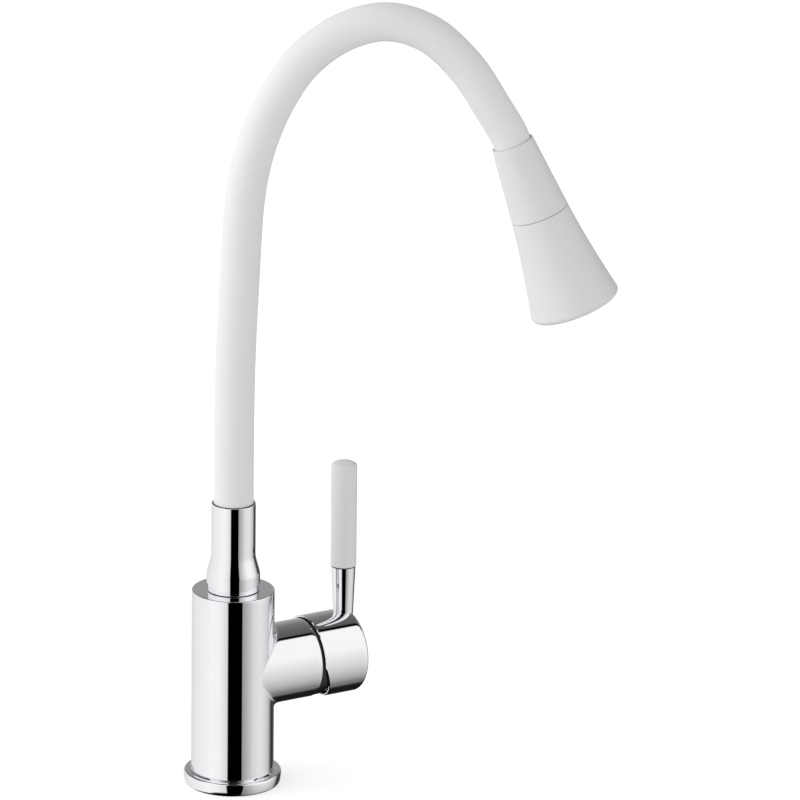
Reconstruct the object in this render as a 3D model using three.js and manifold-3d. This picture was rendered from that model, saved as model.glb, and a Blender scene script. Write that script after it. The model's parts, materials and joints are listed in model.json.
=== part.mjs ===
// Single-lever kitchen mixer tap with a flexible stay-put spout and a two-jet spray head.
// Millimetres, +Z up. The origin is the centre of the foot, on the deck. At rest the spout
// reaches along +X, and the lever side leaves the body at a bearing from it.

import * as THREE from 'three';
import { mergeVertices } from 'three/addons/utils/BufferGeometryUtils.js';
import Module from 'manifold-3d';

const wasm = await Module();
wasm.setup();

// Fits shared by all mating pieces
const seatGap = 0.3;
const runningGap = 0.35;
const overrun = 1;
const weldTolerance = 0.0001;
const visibleSegments = 32;
const stickSegments = 16;
const hiddenSegments = 12;
const boreSegments = 24;
const drillSides = 8;
const sealRingSides = 5;
const nozzleSides = 6;
const roundingSteps = 3;
const degree = Math.PI / 180;

// Foot ring and its seal
const ringDiameter = 56.3;
const ringHeight = 9.2;
const ringTopRounding = 2.6;
const ringBottomRounding = 1.8;
const sealWidth = 4;
const sealHeight = 2;
const sealMargin = 1.4;

// Body casting
const bodyDiameter = 47.6;
const bodyHeight = 117.1;
const bodyEdgeRounding = 0.8;
const bodyShoulder = 2.5;
const bodyChamfer = 0.4;

// Lever side, its bearing from the spout and its height
const leverBearing = 31 * degree;
const leverHeight = 67.5;
const housingDiameter = 46;
const housingReach = 45.1;
const housingRounding = 0.9;
const housingFillet = 3.2;
const filletBury = 1.5;
const filletSteps = 3;

// Waterways in the casting
const inletSpacing = 15.6;
const inletForward = 4;
const inletThreadDiameter = 9.4;
const inletThreadDepth = 14;
const channelDiameter = 6.4;
const inletPortDrop = 7;
const outletPortRise = 8;
const outletPortDiameter = 7;
const outletRiserDiameter = 10;
const studBack = 11;
const studHoleDiameter = 7.8;
const studHoleDepth = 18;

// Cartridge, stacked outwards from the floor of its bore
const cartridgeDiameter = 34.6;
const cartridgeFloor = 20;
const cartridgeSealHeight = 1.2;
const cartridgeBaseHeight = 3.5;
const fixedDiscDiameter = 26;
const fixedDiscHeight = 3;
const movingDiscDiameter = 21;
const movingDiscHeight = 3;
const movingDiscRestDrop = 2.5;
const driverDiameter = 19;
const driverHeight = 3.2;
const driverSocketDiameter = 7.6;
const shellWall = 1.6;
const shellTopHeight = 2;
const carrierFlangeHeight = 3;
const carrierNeckDiameter = 24.4;
const carrierNeckEnd = 53.5;
const carrierSlotHeight = 17.2;
const nutThreadDiameter = 39;
const nutHeight = 6.1;
const nutBoreDiameter = 26;
const nutSlotWidth = 3;
const nutSlotDepth = 2.5;
const nutSlots = 4;

// Lever pivot, stem and domed cover
const pivotReach = 48.7;
const pinDiameter = 3;
const pinLength = 23;
const stemWidth = 8;
const stemInnerEnd = 33;
const stemSquareStart = 40;
const stemOuterEnd = 71;
const stemFingerDiameter = 5.2;
const domeWall = 1.6;
const domeEnd = 59;
const domeSteps = 3;

// Lever cap
const capDiameter = 48.6;
const capWall = 1.1;
const capGap = 1.7;
const capEnd = 77.1;
const capEndWall = 3;
const capEndRounding = 2.4;
const capRimChamfer = 0.3;
const reliefStart = 4.5;
const reliefBend = 11;
const reliefReach = 13;
const reliefDepth = 26;
const bossDiameter = 18;
const bossStart = 58.5;
const grubReach = 66;
const grubDiameter = 5;
const grubLength = 5;
const plugLength = 1.4;

// Lever stick
const stickReach = 73;
const stubBaseDiameter = 11.7;
const stubFlare = 0.7;
const stubFlareHeight = 2;
const stubTopDiameter = 14.1;
const stubTopHeight = 119;
const stubChamfer = 0.3;
const sleeveDiameter = 15;
const sleeveTopHeight = 182.7;
const sleeveDomeHeight = 3;
const sleeveEdgeRounding = 0.5;
const rodDiameter = 6;
const rodSeatDepth = 14;
const rodLength = 58;

// Spout foot: collar, spigot, rings and set screw
const collarBaseDiameter = 30.8;
const collarTopDiameter = 25.1;
const collarWaistStart = 9.3;
const collarWaistEnd = 22.1;
const collarHeight = 50.9;
const collarChamfer = 0.5;
const waistSteps = 7;
const waistLowerShare = 0.15;
const waistUpperShare = 0.3;
const hoseSocketDepth = 17.7;
const spigotDiameter = 18;
const spigotDepth = 29;
const spigotBore = 9.2;
const spigotWellClearance = 3;
const ringGrooveDepth = 2;
const ringGrooveWidth = 3;
const lowerGroove = 5;
const upperGroove = 22;
const lockGroove = 13;
const lockGrooveWidth = 4;
const lockGrooveDepth = 1.6;
const lockScrewBearing = 150 * degree;
const lockScrewDiameter = 4;
const lockScrewRecess = 1.5;
const washerInnerDiameter = 20;
const washerOuterDiameter = 28;
const washerHeight = 1.6;

// Flexible spout
const hoseDiameter = 22.2;
const hoseBore = 16;
const armDiameter = 15.2;
const armBore = 11.2;
const waterHoseDiameter = 10.4;
const waterHoseBore = 7;
const hoseSteps = 30;
const coverSides = 14;
const coverBoreSides = 7;
const armSides = 7;
const waterHoseSides = 5;
const crownRise = 69.5;
const hoseLead = 5;

// Rising side, as shares of the head's reach and of the crown's height over the collar
const riserShares = [
  [0, 0.13],
  [0.004, 0.294],
  [0.017, 0.463],
  [0.038, 0.645],
  [0.076, 0.744],
  [0.144, 0.837],
  [0.244, 0.919],
  [0.384, 0.977],
  [0.54, 1],
];

// Falling side, as shares of the head's reach and of the crown's rise over the head
const fallShares = [
  [0.692, 0.906],
  [0.83, 0.627],
  [0.929, 0.289],
];

// Spray head, measured along its own axis from its top edge
const headReach = 155.4;
const headTopHeight = 384.2;
const headTilt = 21.4 * degree;
const headTopDiameter = 24.4;
const headSeamDiameter = 33.6;
const headRimDiameter = 53.6;
const headSeam = 43.9;
const headLength = 102.9;
const headTopRounding = 0.5;
const headRimRounding = 3;
const headSeamChamfer = 0.35;
const headFlareShare = 0.3;
const headFlareSteps = 5;
const upperWall = 2;
const lowerWall = 2.2;
const hoseEntry = 8;
const nippleFlange = 2;
const nippleFlangeDiameter = 22;
const nippleNeckDiameter = 14.6;
const nippleBore = 7;
const shelfHeight = 2.7;
const nippleNutHeight = 4;
const nippleNutWidth = 20;
const nutSides = 6;
const nippleLength = 16;
const coreDiameter = 21;
const coreBore = 8;
const coreLength = 36;
const coreGroove = 30;
const coreStand = 1;
const pocketLedge = 1;
const selectorHeight = 3.6;
const selectorPorts = 6;
const selectorPortDiameter = 4;
const selectorRingShare = 0.64;
const neckHeight = 6;
const neckWall = 2;
const faceRecess = 4;
const faceHeight = 2.6;
const faceBoreDiameter = 19;
const nozzleMatHeight = 1.8;
const nozzleCount = 12;
const nozzleBaseDiameter = 3.6;
const nozzleTipDiameter = 2;
const nozzleStand = 1;
const nozzleRingShare = 0.72;
const aeratorDiameter = 17.6;
const aeratorLength = 22;
const aeratorWall = 1.8;
const screenRecess = 1.2;
const screenHeight = 1.4;
const screenBars = 3;
const screenBarWidth = 1.2;

// Radii and levels that several pieces follow
const bodyRadius = bodyDiameter / 2;
const footRadius = bodyRadius - bodyShoulder;
const housingRadius = housingDiameter / 2;
const cartridgeRadius = cartridgeDiameter / 2;
const capRadius = capDiameter / 2;
const capBoreRadius = capRadius - capWall;
const capStart = housingReach + capGap;
const domeRadius = capBoreRadius - 2 * seatGap;
const nutRadius = nutThreadDiameter / 2;
const sealTop = cartridgeFloor + seatGap + cartridgeSealHeight;
const baseTop = sealTop + seatGap + cartridgeBaseHeight;
const fixedDiscTop = baseTop + seatGap + fixedDiscHeight;
const movingDiscTop = fixedDiscTop + seatGap + movingDiscHeight;
const driverTop = movingDiscTop + seatGap + driverHeight;
const flangeStart = driverTop + 2 * seatGap;
const flangeTop = flangeStart + carrierFlangeHeight;
const shellTop = flangeTop + seatGap + shellTopHeight;
const nutStart = shellTop + seatGap;
const slotWidth = stemWidth + 2 * runningGap;
const collarFoot = bodyHeight + seatGap;
const collarTop = bodyHeight + collarHeight;
const hoseStart = collarTop - hoseSocketDepth;
const crownHeight = headTopHeight + crownRise;
const spigotFoot = bodyHeight - spigotDepth;
const spigotRadius = spigotDiameter / 2;
const wellRadius = spigotRadius + seatGap;
const hoseRadius = hoseDiameter / 2;
const faceStart = headLength - faceRecess - faceHeight;
const coreStart = hoseEntry + nippleFlange + nippleLength + seatGap;
const coreEnd = coreStart + coreLength;

// Turned profile points on a quarter round, from one bearing to another
function roundedCorner(centreRadius, centreLevel, radius, fromAngle, toAngle) {
  const points = [];
  for (let step = 0; step <= roundingSteps; step += 1) {
    const angle = fromAngle + ((toAngle - fromAngle) * step) / roundingSteps;
    points.push([
      centreRadius + radius * Math.cos(angle),
      centreLevel + radius * Math.sin(angle),
    ]);
  }
  return points;
}

// Turns a closed profile of [radius, level] points about +Z
function revolve(profile, segments) {
  const [first] = profile;
  const last = profile[profile.length - 1];
  const closed = first[0] === 0 && last[0] === 0 ? profile : [...profile, first];
  const points = closed.map(([radius, level]) => new THREE.Vector2(radius, level));
  return new THREE.LatheGeometry(points, segments).rotateX(Math.PI / 2);
}

function cylinder(radius, from, to, segments) {
  return revolve([[0, from], [radius, from], [radius, to], [0, to]], segments);
}

function tube(bore, radius, from, to, segments) {
  return revolve([[bore, from], [radius, from], [radius, to], [bore, to]], segments);
}

function box(width, depth, from, to) {
  const block = new THREE.BoxGeometry(width, depth, to - from);
  return block.translate(0, 0, (from + to) / 2);
}

// Lays a piece made along +Z down along +X, its +X side facing down
function alongX(geometry) {
  return geometry.rotateY(Math.PI / 2);
}

// Carries a piece from the lever side's own axes to the body's
function toLeverSide(geometry) {
  return geometry.rotateZ(leverBearing).translate(0, 0, leverHeight);
}

// Corner indices without the empty triangles that meet in the poles of a turned piece
function soundTriangles(index) {
  const kept = [];
  for (let at = 0; at < index.length; at += 3) {
    const [a, b, c] = [index[at], index[at + 1], index[at + 2]];
    if (a !== b && b !== c && c !== a) kept.push(a, b, c);
  }
  return kept;
}

// Six times the volume inside the triangles, negative when they face inwards
function signedVolume(places, triangles) {
  const [a, b, c] = [new THREE.Vector3(), new THREE.Vector3(), new THREE.Vector3()];
  let total = 0;
  for (let at = 0; at < triangles.length; at += 3) {
    a.fromArray(places, 3 * triangles[at]);
    b.fromArray(places, 3 * triangles[at + 1]);
    c.fromArray(places, 3 * triangles[at + 2]);
    total += a.dot(b.cross(c));
  }
  return total;
}

function toSolid(geometry) {
  const bare = geometry.clone();
  bare.deleteAttribute('normal');
  bare.deleteAttribute('uv');
  const merged = mergeVertices(bare, weldTolerance);
  const places = merged.attributes.position.array;
  const triangles = soundTriangles(merged.index.array);
  if (signedVolume(places, triangles) < 0) triangles.reverse();
  const mesh = new wasm.Mesh({
    numProp: 3,
    vertProperties: new Float32Array(places),
    triVerts: new Uint32Array(triangles),
  });
  return new wasm.Manifold(mesh);
}

function toGeometry(solid) {
  const { vertProperties, triVerts } = solid.getMesh();
  const geometry = new THREE.BufferGeometry();
  geometry.setAttribute('position', new THREE.BufferAttribute(vertProperties, 3));
  geometry.setIndex(new THREE.BufferAttribute(triVerts, 1));
  geometry.computeVertexNormals();
  return geometry;
}

function join(...geometries) {
  return toGeometry(geometries.map(toSolid).reduce((whole, next) => whole.add(next)));
}

function cut(geometry, ...tools) {
  return toGeometry(
    tools.map(toSolid).reduce((rest, tool) => rest.subtract(tool), toSolid(geometry)),
  );
}

// Closed skin over a ring of sections, each a loop of as many points
function skinRing(sections) {
  const count = sections[0].length;
  const places = sections.flat().flatMap((point) => point.toArray());
  const index = [];
  sections.forEach((section, at) => {
    const next = (at + 1) % sections.length;
    for (let side = 0; side < count; side += 1) {
      const after = (side + 1) % count;
      const [a, b] = [at * count + side, at * count + after];
      const [c, d] = [next * count + after, next * count + side];
      index.push(a, b, c, a, c, d);
    }
  });
  const geometry = new THREE.BufferGeometry();
  geometry.setAttribute('position', new THREE.Float32BufferAttribute(places, 3));
  geometry.setIndex(index);
  return geometry;
}

// Fillet round the join of a branch tube along +X with a main tube along Z: each section is
// the space under a ball that rolls round the join and touches both tubes
function branchFillet(mainRadius, branchRadius, filletRadius) {
  const sections = [];
  for (let turn = 0; turn < visibleSegments; turn += 1) {
    const angle = (2 * Math.PI * turn) / visibleSegments;
    const across = new THREE.Vector3(0, Math.sin(angle), Math.cos(angle));
    const ball = across.clone().multiplyScalar(branchRadius + filletRadius);
    ball.x = Math.sqrt((mainRadius + filletRadius) ** 2 - ball.y ** 2);
    const onBranch = across.clone().multiplyScalar(branchRadius).setX(ball.x);
    const mainShare = mainRadius / (mainRadius + filletRadius);
    const onMain = new THREE.Vector3(ball.x * mainShare, ball.y * mainShare, ball.z);
    const from = onBranch.clone().sub(ball);
    const to = onMain.clone().sub(ball);
    const swing = from.angleTo(to);
    const section = [];
    for (let step = 0; step <= filletSteps; step += 1) {
      const share = step / filletSteps;
      const arm = from.clone().multiplyScalar(Math.sin((1 - share) * swing) / Math.sin(swing));
      arm.addScaledVector(to, Math.sin(share * swing) / Math.sin(swing));
      section.push(ball.clone().add(arm));
    }
    const root = across.clone().multiplyScalar(branchRadius - filletBury);
    root.x = Math.sqrt(mainRadius ** 2 - root.y ** 2) - filletBury;
    section.push(root);
    sections.push(section);
  }
  return skinRing(sections);
}

// Materials
const chrome = new THREE.MeshStandardMaterial({ color: 0xd9dbde, metalness: 1, roughness: 0.06 });
const brass = new THREE.MeshStandardMaterial({ color: 0xc9a45c, metalness: 1, roughness: 0.35 });
const steel = new THREE.MeshStandardMaterial({ color: 0x9fa3a8, metalness: 1, roughness: 0.4 });
const mattWhite = new THREE.MeshStandardMaterial({ color: 0xe4e6e8, roughness: 0.55 });
const softWhite = new THREE.MeshStandardMaterial({ color: 0xe2e4e6, roughness: 0.7 });
const blackCover = new THREE.MeshStandardMaterial({ color: 0x0c0c0e, roughness: 0.25 });
const rubber = new THREE.MeshStandardMaterial({ color: 0x1b1b1d, roughness: 0.85 });
const greyRubber = new THREE.MeshStandardMaterial({ color: 0x8c9094, roughness: 0.75 });
const ceramic = new THREE.MeshStandardMaterial({ color: 0xf1efe8, roughness: 0.2 });
const innerPlastic = new THREE.MeshStandardMaterial({ color: 0xcfd2d4, roughness: 0.5 });

const tap = new THREE.Group();
const leverSide = new THREE.Group();
leverSide.rotation.z = leverBearing;
leverSide.position.z = leverHeight;
const sprayHead = new THREE.Group();
sprayHead.rotation.y = Math.PI - headTilt;
sprayHead.position.set(headReach, 0, headTopHeight);
tap.add(leverSide, sprayHead);

function addPiece(group, name, geometry, material) {
  const mesh = new THREE.Mesh(toGeometry(toSolid(geometry)), material);
  mesh.name = name;
  group.add(mesh);
}

// Foot
const ringRadius = ringDiameter / 2;
const ringBoreRadius = footRadius + seatGap;
const sealOuterRadius = ringRadius - sealMargin;
const sealInnerRadius = sealOuterRadius - sealWidth;

function footRing() {
  const profile = [
    [ringBoreRadius, 0],
    [sealInnerRadius - seatGap, 0],
    [sealInnerRadius - seatGap, sealHeight + seatGap],
    [sealOuterRadius + seatGap, sealHeight + seatGap],
    [sealOuterRadius + seatGap, seatGap],
    ...roundedCorner(
      ringRadius - ringBottomRounding,
      seatGap + ringBottomRounding,
      ringBottomRounding,
      -Math.PI / 4,
      0,
    ),
    ...roundedCorner(
      ringRadius - ringTopRounding,
      ringHeight - ringTopRounding,
      ringTopRounding,
      0,
      Math.PI / 2,
    ),
    [ringBoreRadius, ringHeight],
  ];
  return revolve(profile, visibleSegments);
}

function footSeal() {
  return tube(sealInnerRadius, sealOuterRadius, 0, sealHeight, boreSegments);
}

// Body casting: turned column, side housing blended into it, and the bored waterways
function castingColumn() {
  const shoulder = ringHeight + seatGap;
  const profile = [
    [0, 0],
    [footRadius, 0],
    [footRadius, shoulder],
    [bodyRadius - bodyChamfer, shoulder],
    [bodyRadius, shoulder + bodyChamfer],
    ...roundedCorner(
      bodyRadius - bodyEdgeRounding,
      bodyHeight - bodyEdgeRounding,
      bodyEdgeRounding,
      0,
      Math.PI / 2,
    ),
    [0, bodyHeight],
  ];
  return revolve(profile, visibleSegments);
}

function castingHousing() {
  const profile = [
    [0, 0],
    [housingRadius, 0],
    ...roundedCorner(
      housingRadius - housingRounding,
      housingReach - housingRounding,
      housingRounding,
      0,
      Math.PI / 2,
    ),
    [0, housingReach],
  ];
  return toLeverSide(alongX(revolve(profile, visibleSegments)));
}

function cartridgeBore() {
  const profile = [
    [0, cartridgeFloor],
    [cartridgeRadius + seatGap, cartridgeFloor],
    [cartridgeRadius + seatGap, nutStart - seatGap],
    [nutRadius + seatGap, nutStart - seatGap],
    [nutRadius + seatGap, housingReach + overrun],
    [0, housingReach + overrun],
  ];
  return toLeverSide(alongX(revolve(profile, boreSegments)));
}

// A level passage from the cartridge floor back to the middle of the body
function port(diameter, across, rise, from) {
  const drill = cylinder(diameter / 2, from, cartridgeFloor + overrun, drillSides);
  return toLeverSide(alongX(drill).translate(0, across, rise));
}

// An upright drilling, placed from the body's axis along and across the lever side
function uprightDrill(diameter, forward, across, from, to) {
  const drill = cylinder(diameter / 2, from, to, drillSides);
  return drill.translate(forward, across, 0).rotateZ(leverBearing);
}

function inletWay(side) {
  const across = (side * inletSpacing) / 2;
  const portLevel = leverHeight - inletPortDrop;
  return join(
    uprightDrill(inletThreadDiameter, inletForward, across, -overrun, inletThreadDepth),
    uprightDrill(channelDiameter, inletForward, across, 0, portLevel + channelDiameter / 2),
    port(channelDiameter, across, -inletPortDrop, inletForward),
  );
}

function spigotWell() {
  const floor = spigotFoot - spigotWellClearance;
  return cylinder(wellRadius, floor, bodyHeight + overrun, boreSegments);
}

function outletWay() {
  const portLevel = leverHeight + outletPortRise;
  const wellFloor = spigotFoot - spigotWellClearance;
  return join(
    uprightDrill(
      outletRiserDiameter,
      0,
      0,
      portLevel - outletPortDiameter / 2,
      wellFloor + overrun,
    ),
    port(outletPortDiameter, 0, outletPortRise, 0),
  );
}

// Level of a groove's middle, counted up from the spigot's foot
function grooveLevel(offset) {
  return spigotFoot + offset;
}

function lockScrewHole() {
  const hole = cylinder(
    lockScrewDiameter / 2 + seatGap,
    spigotRadius,
    bodyRadius + overrun,
    drillSides,
  );
  return alongX(hole).rotateZ(lockScrewBearing).translate(0, 0, grooveLevel(lockGroove));
}

function bodyCasting() {
  const fillet = branchFillet(bodyRadius, housingRadius, housingFillet);
  const whole = join(castingColumn(), castingHousing(), toLeverSide(fillet));
  return cut(
    whole,
    cartridgeBore(),
    inletWay(1),
    inletWay(-1),
    outletWay(),
    spigotWell(),
    lockScrewHole(),
    uprightDrill(studHoleDiameter, -studBack, 0, -overrun, studHoleDepth),
  );
}

addPiece(tap, 'base_ring', footRing(), chrome);
addPiece(tap, 'base_seal', footSeal(), rubber);
addPiece(tap, 'body_casting', bodyCasting(), chrome);

// Cartridge: base seal, base, ceramic discs, driver, shell, carrier and nut
function portedDisc(radius, from, to) {
  const disc = alongX(cylinder(radius, from, to, hiddenSegments));
  const drills = [
    [inletSpacing / 2, -inletPortDrop, channelDiameter],
    [-inletSpacing / 2, -inletPortDrop, channelDiameter],
    [0, outletPortRise, outletPortDiameter],
  ].map(([across, rise, diameter]) => {
    const drill = cylinder(diameter / 2, from - overrun, to + overrun, drillSides);
    return alongX(drill).translate(0, across, rise);
  });
  return cut(disc, ...drills);
}

function movingDisc() {
  const disc = alongX(
    cylinder(movingDiscDiameter / 2, fixedDiscTop + seatGap, movingDiscTop, hiddenSegments),
  );
  return disc.translate(0, 0, -movingDiscRestDrop);
}

// Driver on the moving disc: its off-centre socket takes the end of the stem
function discDriver() {
  const from = movingDiscTop + seatGap;
  const plate = alongX(cylinder(driverDiameter / 2, from, driverTop, hiddenSegments));
  const socket = cylinder(
    driverSocketDiameter / 2,
    from - overrun,
    driverTop + overrun,
    drillSides,
  );
  return cut(plate.translate(0, 0, -movingDiscRestDrop), alongX(socket));
}

function cartridgeShell() {
  const innerRadius = cartridgeRadius - shellWall;
  const profile = [
    [innerRadius, baseTop + seatGap],
    [cartridgeRadius, baseTop + seatGap],
    [cartridgeRadius, shellTop],
    [carrierNeckDiameter / 2 + seatGap, shellTop],
    [carrierNeckDiameter / 2 + seatGap, flangeTop + seatGap],
    [innerRadius, flangeTop + seatGap],
  ];
  return alongX(revolve(profile, boreSegments));
}

// Turning carrier, slotted for the stem and cross-drilled for its pin
function stemCarrier() {
  const profile = [
    [0, flangeStart],
    [cartridgeRadius - shellWall - seatGap, flangeStart],
    [cartridgeRadius - shellWall - seatGap, flangeTop],
    [carrierNeckDiameter / 2, flangeTop],
    [carrierNeckDiameter / 2, carrierNeckEnd],
    [0, carrierNeckEnd],
  ];
  const slot = box(
    carrierSlotHeight,
    slotWidth,
    flangeStart - overrun,
    carrierNeckEnd + overrun,
  );
  return cut(alongX(revolve(profile, hiddenSegments)), alongX(slot), pinDrill(seatGap));
}

function pinDrill(clearance) {
  const radius = pinDiameter / 2 + clearance;
  const reach = carrierNeckDiameter / 2 + overrun;
  const drill = cylinder(radius, -reach, reach, drillSides);
  return drill.rotateX(Math.PI / 2).translate(pivotReach, 0, 0);
}

function stemPin() {
  const pin = cylinder(pinDiameter / 2, -pinLength / 2, pinLength / 2, drillSides);
  return pin.rotateX(Math.PI / 2).translate(pivotReach, 0, 0);
}

function leverStem() {
  const square = alongX(box(stemWidth, stemWidth, stemSquareStart, stemOuterEnd));
  const finger = cylinder(
    stemFingerDiameter / 2,
    stemInnerEnd,
    stemSquareStart + overrun,
    drillSides,
  );
  return cut(join(square, alongX(finger)), pinDrill(seatGap));
}

function cartridgeNut() {
  const ring = tube(
    nutBoreDiameter / 2,
    nutRadius,
    nutStart,
    nutStart + nutHeight,
    boreSegments,
  );
  const slots = [];
  for (let at = 0; at < nutSlots; at += 1) {
    const slot = box(
      nutThreadDiameter,
      nutSlotWidth,
      nutStart + nutHeight - nutSlotDepth,
      nutStart + nutHeight + overrun,
    );
    slots.push(slot.translate(nutThreadDiameter / 2, 0, 0).rotateZ((at * 2 * Math.PI) / nutSlots));
  }
  const bore = cylinder(
    nutBoreDiameter / 2,
    nutStart - overrun,
    nutStart + nutHeight + 2 * overrun,
    boreSegments,
  );
  return alongX(cut(cut(ring, ...slots), bore));
}

// Domed cover over the nut, part of a ball about the lever's pivot, so the cap clears it
function domeCover() {
  const rim = housingReach + seatGap;
  const levels = [];
  for (let step = 0; step <= domeSteps; step += 1) {
    levels.push(rim + ((domeEnd - rim) * step) / domeSteps);
  }
  const onBall = (radius, level) => [Math.sqrt(radius ** 2 - (level - pivotReach) ** 2), level];
  const outside = levels.map((level) => onBall(domeRadius, level));
  const inside = levels.map((level) => onBall(domeRadius - domeWall, level)).reverse();
  return alongX(revolve([...outside, ...inside], visibleSegments));
}

addPiece(
  leverSide,
  'cartridge_seal',
  portedDisc(cartridgeRadius, cartridgeFloor + seatGap, sealTop),
  rubber,
);
addPiece(
  leverSide,
  'cartridge_base',
  portedDisc(cartridgeRadius, sealTop + seatGap, baseTop),
  innerPlastic,
);
addPiece(
  leverSide,
  'fixed_disc',
  portedDisc(fixedDiscDiameter / 2, baseTop + seatGap, fixedDiscTop),
  ceramic,
);
addPiece(leverSide, 'moving_disc', movingDisc(), ceramic);
addPiece(leverSide, 'disc_driver', discDriver(), innerPlastic);
addPiece(leverSide, 'cartridge_shell', cartridgeShell(), innerPlastic);
addPiece(leverSide, 'stem_carrier', stemCarrier(), innerPlastic);
addPiece(leverSide, 'stem_pin', stemPin(), steel);
addPiece(leverSide, 'lever_stem', leverStem(), steel);
addPiece(leverSide, 'cartridge_nut', cartridgeNut(), brass);
addPiece(leverSide, 'dome_cover', domeCover(), blackCover);

// Lever cap: a cup with a socket for the stem, its rear rim relieved below for the tilt,
// and a tapered stub on top
function capCup() {
  const profile = [
    [0, capEnd],
    ...roundedCorner(
      capRadius - capEndRounding,
      capEnd - capEndRounding,
      capEndRounding,
      Math.PI / 2,
      0,
    ),
    [capRadius, capStart + capRimChamfer],
    [capRadius - capRimChamfer, capStart],
    [capBoreRadius, capStart],
    [capBoreRadius, capEnd - capEndWall],
    [bossDiameter / 2, capEnd - capEndWall],
    [bossDiameter / 2, bossStart],
    [0, bossStart],
  ];
  return alongX(revolve(profile, visibleSegments));
}

function capStub() {
  const baseRadius = stubBaseDiameter / 2;
  const topRadius = stubTopDiameter / 2;
  const top = stubTopHeight - leverHeight;
  const profile = [
    [0, capBoreRadius],
    [baseRadius + stubFlare, capBoreRadius],
    [baseRadius + stubFlare, capRadius - stubFlare],
    [baseRadius, capRadius + stubFlareHeight],
    [topRadius, top - stubChamfer],
    [topRadius - stubChamfer, top],
    [0, top],
  ];
  return revolve(profile, stickSegments).translate(stickReach, 0, 0);
}

// The relief under the cap's rear rim, a bar across the cap with a bent upper edge
function capRelief() {
  const outline = new THREE.Shape();
  outline.moveTo(-capGap, -reliefStart);
  outline.lineTo(0, -reliefStart);
  outline.quadraticCurveTo(0, -reliefBend, reliefReach, -reliefDepth);
  outline.lineTo(-capGap, -reliefDepth);
  const bar = new THREE.ExtrudeGeometry(outline, {
    depth: capDiameter,
    bevelEnabled: false,
    curveSegments: 2 * roundingSteps,
  });
  return bar.rotateX(Math.PI / 2).translate(capStart, capRadius, 0);
}

function leverCap() {
  const socketWidth = stemWidth + 2 * seatGap;
  const socket = alongX(
    box(socketWidth, socketWidth, bossStart - overrun, stemOuterEnd + seatGap),
  );
  const grubHole = cylinder(
    grubDiameter / 2 + seatGap,
    -capRadius - overrun,
    0,
    drillSides,
  );
  const rodSeat = cylinder(
    rodDiameter / 2 + seatGap,
    stubTopHeight - leverHeight - rodSeatDepth,
    stubTopHeight - leverHeight + overrun,
    drillSides,
  );
  return cut(
    join(capCup(), capStub()),
    capRelief(),
    socket,
    grubHole.translate(grubReach, 0, 0),
    rodSeat.translate(stickReach, 0, 0),
  );
}

function leverGrubScrew() {
  const top = -stemWidth / 2 - seatGap;
  const screw = cylinder(grubDiameter / 2, top - grubLength, top, drillSides);
  return screw.translate(grubReach, 0, 0);
}

function grubPlug() {
  const plug = cylinder(
    grubDiameter / 2,
    -capRadius + seatGap,
    -capRadius + seatGap + plugLength,
    drillSides,
  );
  return plug.translate(grubReach, 0, 0);
}

function leverRod() {
  const foot = stubTopHeight - leverHeight - rodSeatDepth + seatGap;
  const rod = cylinder(rodDiameter / 2, foot, foot + rodLength, drillSides);
  return rod.translate(stickReach, 0, 0);
}

// White sleeve over the rod, with a domed end
function leverSleeve() {
  const foot = stubTopHeight - leverHeight + seatGap;
  const top = sleeveTopHeight - leverHeight;
  const rodTop = stubTopHeight - leverHeight - rodSeatDepth + rodLength + 2 * seatGap;
  const radius = sleeveDiameter / 2;
  const boreRadius = rodDiameter / 2 + seatGap;
  const dome = [];
  for (let step = 0; step <= roundingSteps; step += 1) {
    const angle = (Math.PI / 2) * (step / roundingSteps);
    const domeRise = sleeveDomeHeight * Math.sin(angle);
    dome.push([radius * Math.cos(angle), top - sleeveDomeHeight + domeRise]);
  }
  dome[roundingSteps][0] = 0;
  const profile = [
    [0, rodTop],
    [boreRadius, rodTop],
    [boreRadius, foot],
    [radius - sleeveEdgeRounding, foot],
    [radius, foot + sleeveEdgeRounding],
    ...dome,
  ];
  return revolve(profile, stickSegments).translate(stickReach, 0, 0);
}

addPiece(leverSide, 'lever_cap', leverCap(), chrome);
addPiece(leverSide, 'lever_grub_screw', leverGrubScrew(), steel);
addPiece(leverSide, 'grub_plug', grubPlug(), chrome);
addPiece(leverSide, 'lever_rod', leverRod(), steel);
addPiece(leverSide, 'lever_sleeve', leverSleeve(), mattWhite);

// Spout foot

// A slope from 0 to 1, straight between two short bends
function waistSlope(share) {
  const slope = 1 / (1 - (waistLowerShare + waistUpperShare) / 2);
  if (share < waistLowerShare) {
    return (slope * share ** 2) / (2 * waistLowerShare);
  }
  if (share > 1 - waistUpperShare) {
    return 1 - (slope * (1 - share) ** 2) / (2 * waistUpperShare);
  }
  return slope * (share - waistLowerShare / 2);
}

function collarWaist() {
  const points = [];
  const baseRadius = collarBaseDiameter / 2;
  const topRadius = collarTopDiameter / 2;
  for (let step = 0; step <= waistSteps; step += 1) {
    const share = step / waistSteps;
    points.push([
      baseRadius + (topRadius - baseRadius) * waistSlope(share),
      bodyHeight + collarWaistStart + (collarWaistEnd - collarWaistStart) * share,
    ]);
  }
  return points;
}

function spoutCollar() {
  const washerRadius = washerOuterDiameter / 2 + seatGap;
  const washerTop = collarFoot + washerHeight + seatGap;
  const profile = [
    [washerRadius, collarFoot],
    [collarBaseDiameter / 2 - collarChamfer, collarFoot],
    [collarBaseDiameter / 2, collarFoot + collarChamfer],
    ...collarWaist(),
    [collarTopDiameter / 2, collarTop - collarChamfer],
    [collarTopDiameter / 2 - collarChamfer, collarTop],
    [hoseRadius + seatGap, collarTop],
    [hoseRadius + seatGap, hoseStart],
    [spigotRadius + seatGap, hoseStart],
    [spigotRadius + seatGap, washerTop],
    [washerRadius, washerTop],
  ];
  return revolve(profile, visibleSegments);
}

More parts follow.
